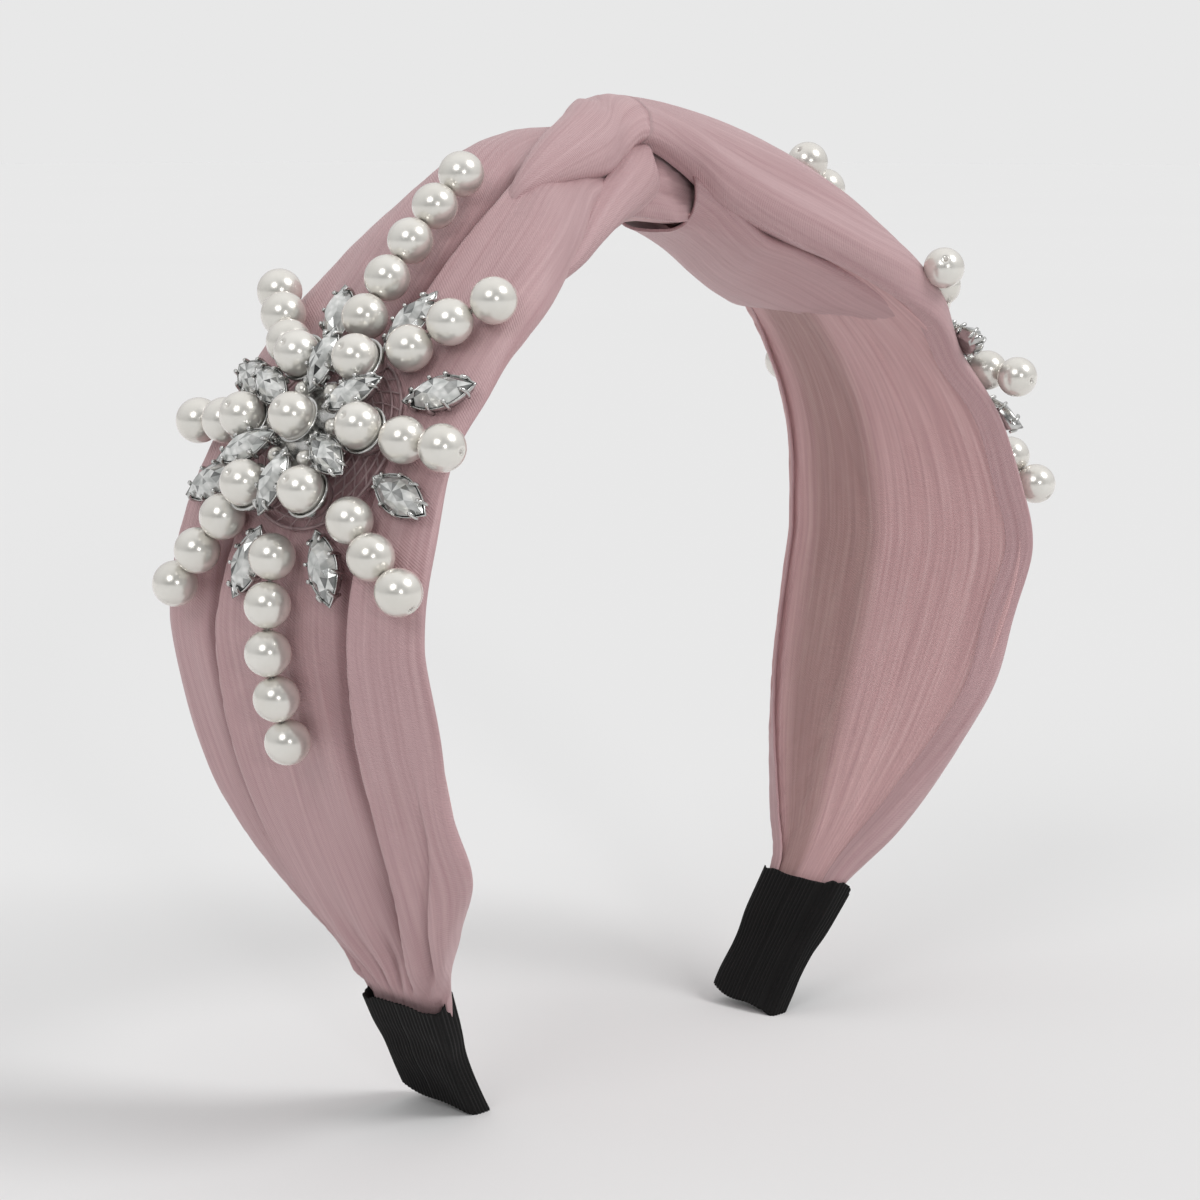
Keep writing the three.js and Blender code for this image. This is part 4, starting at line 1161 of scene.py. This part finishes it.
def tube(path, radius, sides=10, taper=None):
    """A closed round tube along a list of points; taper scales the radius at each point."""
    path = [Vector(p) for p in path]
    vertices, faces = [], []
    side_way = None
    for i, point in enumerate(path):
        ahead = path[min(i + 1, len(path) - 1)] - path[max(i - 1, 0)]
        ahead.normalize()
        if side_way is None:
            side_way = ahead.orthogonal().normalized()
        side_way = (side_way - ahead * side_way.dot(ahead)).normalized()
        other = ahead.cross(side_way)
        own = radius * (taper[i] if taper else 1)
        for k in range(sides):
            angle = 2 * math.pi * k / sides
            vertices.append(point + (side_way * math.cos(angle) + other * math.sin(angle)) * own)
    faces = grid_faces(len(path), sides, closed=True)
    faces.append(tuple(range(sides))[::-1])
    faces.append(tuple((len(path) - 1) * sides + k for k in range(sides)))
    return vertices, faces


def ray_centres(cloth_map, angle, count):
    """The centres of a ray's pearls, which lie on the fabric a pearl's pitch apart."""
    def centre_at(distance):
        point, _, _, outward = cloth_map.frame(distance * math.cos(angle), distance * math.sin(angle))
        return point + outward * (PEARL_RADIUS + SEWN_GAP)

    distance = FIRST_PEARL_DISTANCE
    centres = [centre_at(distance)]
    while len(centres) < count:
        while (centre_at(distance) - centres[-1]).length < PEARL_PITCH:
            distance += 0.02
        centres.append(centre_at(distance))
    return centres


def on_arm(piece, side, slot_name, *replaced):
    """Fixes a piece to an arm and hides the CAD nodes it stands for; slot_name is not used."""
    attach(piece, side + "_arm")
    if replaced:
        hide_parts(*replaced)


THREAD_RADIUS = 0.24
# How far into an end pearl's outer hole the thread reaches, as a share of the pearl's radius.
THREAD_REACH = 0.96


def make_pearl_ray(side, cloth_map, index, count, angle):
    """A ray of pearls on clear nylon, which ends in the outer holes of its first and last pearls."""
    centres = ray_centres(cloth_map, angle, count)
    parts = []
    for i, centre in enumerate(centres):
        axis = centres[min(i + 1, count - 1)] - centres[max(i - 1, 0)]
        parts.append(pearl(centre, axis.normalized()))
    name = f"{side}_pearl_ray_{index}"
    vertices, faces = join_parts(parts)
    on_arm(mesh_object(name + "_pearls", vertices, faces, PEARL), side, "pearl", name)
    first_end, last_end = [
        centre + (centre - inside).normalized() * THREAD_REACH * PEARL_RADIUS
        for centre, inside in ((centres[0], centres[1]), (centres[-1], centres[-2]))
    ]
    vertices, faces = tube([first_end, *centres, last_end], THREAD_RADIUS)
    on_arm(mesh_object(name + "_thread", vertices, faces, NYLON), side, "net")


def marquise_points(length, width, count, shift=0.0):
    """Points round a marquise outline: two arcs that meet in points on X."""
    points = []
    for i in range(count):
        t = ((i + shift) / count * 4) % 4
        along = 1 - t if t < 2 else t - 3
        bulge = (1 - along * along) * (1 if t < 2 else -1)
        points.append((along * length / 2, bulge * width / 2))
    return points


def faceted_stone(length, width, height):
    """A marquise stone: girdle, two rows of crown facets and a table, over a flat back."""
    sides = 12
    levels = [(0.0, 0.62, 0), (0.34, 0.94, 0), (0.46, 0.97, 0), (0.74, 0.74, 0.5), (1.0, 0.46, 0)]
    vertices, faces = [], []
    for level, scale, shift in levels:
        for x, y in marquise_points(length, width, sides, shift):
            vertices.append(Vector((x * scale, y * scale, level * height)))
    for r in range(len(levels) - 1):
        half_turned = levels[r + 1][2] != levels[r][2]
        for i in range(sides):
            j = (i + 1) % sides
            a, b = r * sides + i, r * sides + j
            c, d = (r + 1) * sides + j, (r + 1) * sides + i
            if not half_turned:
                faces.append((a, b, c, d))
            elif levels[r + 1][2] > 0:
                faces += [(a, b, d), (b, c, d)]
            else:
                faces += [(a, b, c), (a, c, d)]
    faces.append(tuple(range(sides))[::-1])
    top = (len(levels) - 1) * sides
    centre = len(vertices)
    vertices.append(Vector((0, 0, height * 1.02)))
    faces += [(top + i, top + (i + 1) % sides, centre) for i in range(sides)]
    return vertices, faces


# The claws' places round a stone, as shares of the way round from its outer point.
CLAW_PLACES = (0.06, 0.19, 0.31, 0.44, 0.56, 0.69, 0.81, 0.94)


def claw_setting(length, width, height):
    """A pressed metal cup that follows the stone, with a rim and claws bent over its edge."""
    sides = 28
    rings = [(0.0, 0.0), (0.55, 0.0), (0.74, 0.04), (1.02, 0.44), (1.07, 0.52), (1.1, 0.44), (0.82, -0.06),
             (0.6, -0.1), (0.0, -0.1)]
    vertices, faces = [], []
    for scale, level in rings:
        for x, y in marquise_points(length, width, sides):
            vertices.append(Vector((x * scale, y * scale, level * height)))
    faces = grid_faces(len(rings), sides, closed=True)
    parts = [(vertices, faces)]
    for share in CLAW_PLACES:
        x, y = marquise_points(length, width, 200)[int(share * 200)]
        at = Vector((x, y, 0))
        path = [at * 1.0 + Vector((0, 0, 0.05 * height)), at * 1.1 + Vector((0, 0, 0.4 * height)),
                at * 1.04 + Vector((0, 0, 0.66 * height)), at * 0.9 + Vector((0, 0, 0.78 * height))]
        fine = spline([0, 1, 2, 3], [list(p) for p in path], np.linspace(0, 3, 9))
        parts.append(tube(fine, 0.3, 8, [0.9, 1, 1, 1, 1, 1.05, 1.1, 1.1, 0.7]))
    return join_parts(parts)


def give_facet_glints(piece, seed):
    """Each facet's own painted brightness, which stands for the glints and dark reflections of a cut stone.
    """
    draw = random.Random(seed)
    attribute = piece.data.attributes.new("facet_glint", "FLOAT", "FACE")
    values = [draw.random() ** 0.8 for _ in piece.data.polygons]
    attribute.data.foreach_set("value", values)


def make_crystal(side, name, size, matrix, seed):
    """A cut stone in its claw setting."""
    length, width, height = size["length"], size["width"], size["height"]
    vertices, faces = faceted_stone(0.96 * length, 0.96 * width, 0.94 * height)
    lifted = Matrix.Translation((0, 0, 0.05 * height))
    stone = mesh_object(name + "_stone", moved(vertices, matrix @ lifted), faces, CRYSTAL, flat=True)
    turn_outward(stone)
    give_facet_glints(stone, seed)
    on_arm(stone, side, "crystal", name)
    vertices, faces = claw_setting(0.94 * length, 0.94 * width, height)
    setting = mesh_object(name + "_setting", moved(vertices, matrix), faces, SILVER)
    on_arm(setting, side, "silver")


def make_flower(side, cloth_map):
    """The raised flower: a plate with arms and cups, its ring of pearls, its centre pearl and seed pearls."""
    base = cloth_map.matrix(0, 0, 0, FLOWER_LIFT)
    up = Vector((0, 0, 1))
    plate = [(0, 0.1), (3.0, 0.1), (7.4, 0.0), (8.2, 0.3), (8.2, 0.7), (7.4, 1.0), (3.0, 1.0), (0, 1.0)]
    metal = [lathe(plate, 48)]
    metal.append(lathe([(0, 0.6), (2.0, 0.6), (1.7, 2.2), (3.0, 3.2), (3.5, 4.4), (3.75, 4.6), (3.7, 4.9),
                        (3.2, 4.6), (0, 4.4)], 36))
    cup = [(0, 0.0), (2.0, 0.0), (3.0, 0.7), (3.62, 2.1), (3.86, 2.9), (3.8, 3.2), (3.5, 3.1), (2.6, 1.4),
           (0, 1.0)]
    pearls = [pearl((0, 0, CENTRE_PEARL_HEIGHT), up)]
    for i in range(6):
        angle = math.pi / 6 + i * math.pi / 3
        out = Vector((math.cos(angle), math.sin(angle), 0))
        metal.append(tube([out * 1.5 + up * 0.5, out * RING_DISTANCE + up * 0.5], 0.5))
        metal.append(lathe(cup, 36, out * RING_DISTANCE))
        pearls.append(pearl(out * RING_DISTANCE + up * RING_PEARL_HEIGHT, up))
        pearls.append(pearl(out * SEED_DISTANCE + up * SEED_HEIGHT, up, SEED_RADIUS))
        for k in (-1, 1):
            spoke = angle + k * math.radians(17)
            tip = Vector((math.cos(spoke), math.sin(spoke), 0)) * 7.4 + up * 1.0
            metal.append(lathe([(0, -0.5), (0.7, -0.1), (0.6, 0.45), (0, 0.7)], 12, tip))
    vertices, faces = join_parts(metal)
    on_arm(mesh_object(side + "_flower_plate", moved(vertices, base), faces, SILVER), side, "silver")
    vertices, faces = join_parts(pearls)
    made = mesh_object(side + "_flower_pearls", moved(vertices, base), faces, PEARL)
    on_arm(made, side, "pearl", side + "_flower")


def make_net_disc(side, cloth_map):
    """The round net that the flower is sewn through: rings and spokes of thread lying on the fabric."""
    parts = []
    lift = SEWN_GAP + 0.35

    def spot(radius, angle):
        point, _, _, outward = cloth_map.frame(radius * math.cos(angle), radius * math.sin(angle))
        return point + outward * lift

    for k in range(1, 10):
        radius = NET_RADIUS * k / 9
        ring = [spot(radius, 2 * math.pi * i / 40) for i in range(41)]
        parts.append(tube(ring, 0.16 if k < 9 else 0.26, 6))
    for i in range(28):
        angle = 2 * math.pi * i / 28
        path = [spot(NET_RADIUS * t / 8, angle + 0.12 * t) for t in range(1, 9)]
        parts.append(tube(path, 0.14, 6))
    vertices, faces = join_parts(parts)
    made = mesh_object(side + "_net_disc_mesh", vertices, faces, NET)
    on_arm(made, side, "net", side + "_net_disc")


def make_applique(side):
    cloth_map = AppliqueMap(side)
    make_net_disc(side, cloth_map)
    make_flower(side, cloth_map)
    angles = [math.pi + math.radians(degrees) for _, degrees in PEARL_RAYS]
    for i, (count, _) in enumerate(PEARL_RAYS):
        make_pearl_ray(side, cloth_map, i + 1, count, angles[i])
        after = angles[i + 1] if i + 1 < len(angles) else angles[0] + 2 * math.pi
        middle = (angles[i] + after) / 2
        reach = OUTER_CRYSTAL["distance"]
        matrix = cloth_map.matrix(reach * math.cos(middle), reach * math.sin(middle), middle, SEWN_GAP)
        make_crystal(side, f"{side}_outer_crystal_{i + 1}", OUTER_CRYSTAL, matrix, 100 + i)
    for i in range(6):
        angle = math.pi + i * math.pi / 3
        matrix = cloth_map.matrix(0, 0, angle, FLOWER_LIFT)
        matrix = matrix @ Matrix.Translation((INNER_CRYSTAL["distance"], 0, INNER_CRYSTAL_LIFT))
        make_crystal(side, f"{side}_inner_crystal_{i + 1}", INNER_CRYSTAL, matrix, 200 + i)


# ---- Stage --------------------------------------------------------------------------------------------

SURROUND_COLOR = (0.807, 0.807, 0.807, 1)
FLOOR_COLORS = (0.785, 0.795)
# The way the studio's dark side lies: the side that the photographer stands on.
DARK_SIDE = (-0.732, -0.665, 0.148)


def grey(value):
    return (value, value, value, 1)


def add_sun(name, strength, spread, towards):
    data = bpy.data.lights.new(name, "SUN")
    data.energy = strength
    data.angle = math.radians(spread)
    made = bpy.data.objects.new(name, data)
    made.rotation_euler = Vector(towards).to_track_quat("-Z", "Y").to_euler()
    bpy.context.scene.collection.objects.link(made)


def make_floor():
    material, shader = new_material("floor")
    grain = node(material, "ShaderNodeTexNoise", {"Scale": 60.0})
    low, high = (grey(value) for value in FLOOR_COLORS)
    pale = ramp(material, grain.outputs["Fac"], [(0.0, low), (1.0, high)])
    material.node_tree.links.new(pale, shader.inputs["Base Color"])
    shader.inputs["Roughness"].default_value = 0.9
    shader.inputs["Specular IOR Level"].default_value = 0.0
    reach = 20000
    corners = [(-reach, -reach, 0), (reach, -reach, 0), (reach, reach, 0), (-reach, reach, 0)]
    mesh_object("floor", corners, [(0, 1, 2, 3)], material)


def make_surround():
    """A plain pale backdrop that lights the object like a white tent, darker behind the camera."""
    world = bpy.data.worlds.new("surround")
    bpy.context.scene.world = world
    world.use_nodes = True
    links = world.node_tree.links
    seen = world.node_tree.nodes["Background"]
    seen.inputs["Color"].default_value = SURROUND_COLOR
    direction = node(world, "ShaderNodeTexCoord").outputs["Generated"]
    height = node(world, "ShaderNodeSeparateXYZ", {0: direction})
    sky = ramp(world, height.outputs[2], [(0.0, grey(0.50)), (1.0, grey(0.92))])
    nearness = node(world, "ShaderNodeVectorMath", {0: direction, 1: DARK_SIDE}, operation="DOT_PRODUCT")
    tent = ramp(world, nearness.outputs["Value"],
                [(0.0, grey(1.0)), (0.55, grey(0.85)), (0.82, grey(0.4)), (1.0, grey(0.25))])
    lit = node(world, "ShaderNodeMix", {6: sky, 7: tent}, data_type="RGBA", blend_type="MULTIPLY")
    lit.inputs[0].default_value = 1.0
    lighting = node(world, "ShaderNodeBackground", {"Color": lit.outputs[2]})
    path = node(world, "ShaderNodeLightPath")
    chosen = node(world, "ShaderNodeMixShader",
                  {0: path.outputs["Is Camera Ray"], 1: lighting.outputs[0], 2: seen.outputs[0]})
    links.new(chosen.outputs[0], world.node_tree.nodes["World Output"].inputs[0])


def make_stage():
    """A plain pale floor, a plain pale surround and soft studio light."""
    make_floor()
    make_surround()
    add_sun("key", 1.0, 24, (-0.3, 0.8, -0.9))
    add_sun("fill", 0.5, 26, (0.77, 0.24, -0.53))
    add_sun("sparkle", 0.3, 6, (0.45, 0.75, -0.20))


# ---- Assembly -----------------------------------------------------------------------------------------

def finish_steel():
    for name in ("core_crown", "core_left", "core_right"):
        node_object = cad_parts[name]
        for material_slot in node_object.material_slots:
            material_slot.material = STEEL


make_left_cover()
make_right_cover()
make_upper_strip()
make_front_strip()
make_wrap("knot_inner_wrap", INNER_WRAP_ROWS, 16)
make_wrap("knot_rear_wrap", REAR_WRAP_ROWS, 17)
make_lower_lobe()
for arm in ("left", "right"):
    make_lining(arm)
    make_ribbon(arm)
    make_applique(arm)
finish_steel()
make_stage()
bpy.context.scene.view_settings.view_transform = "Standard"
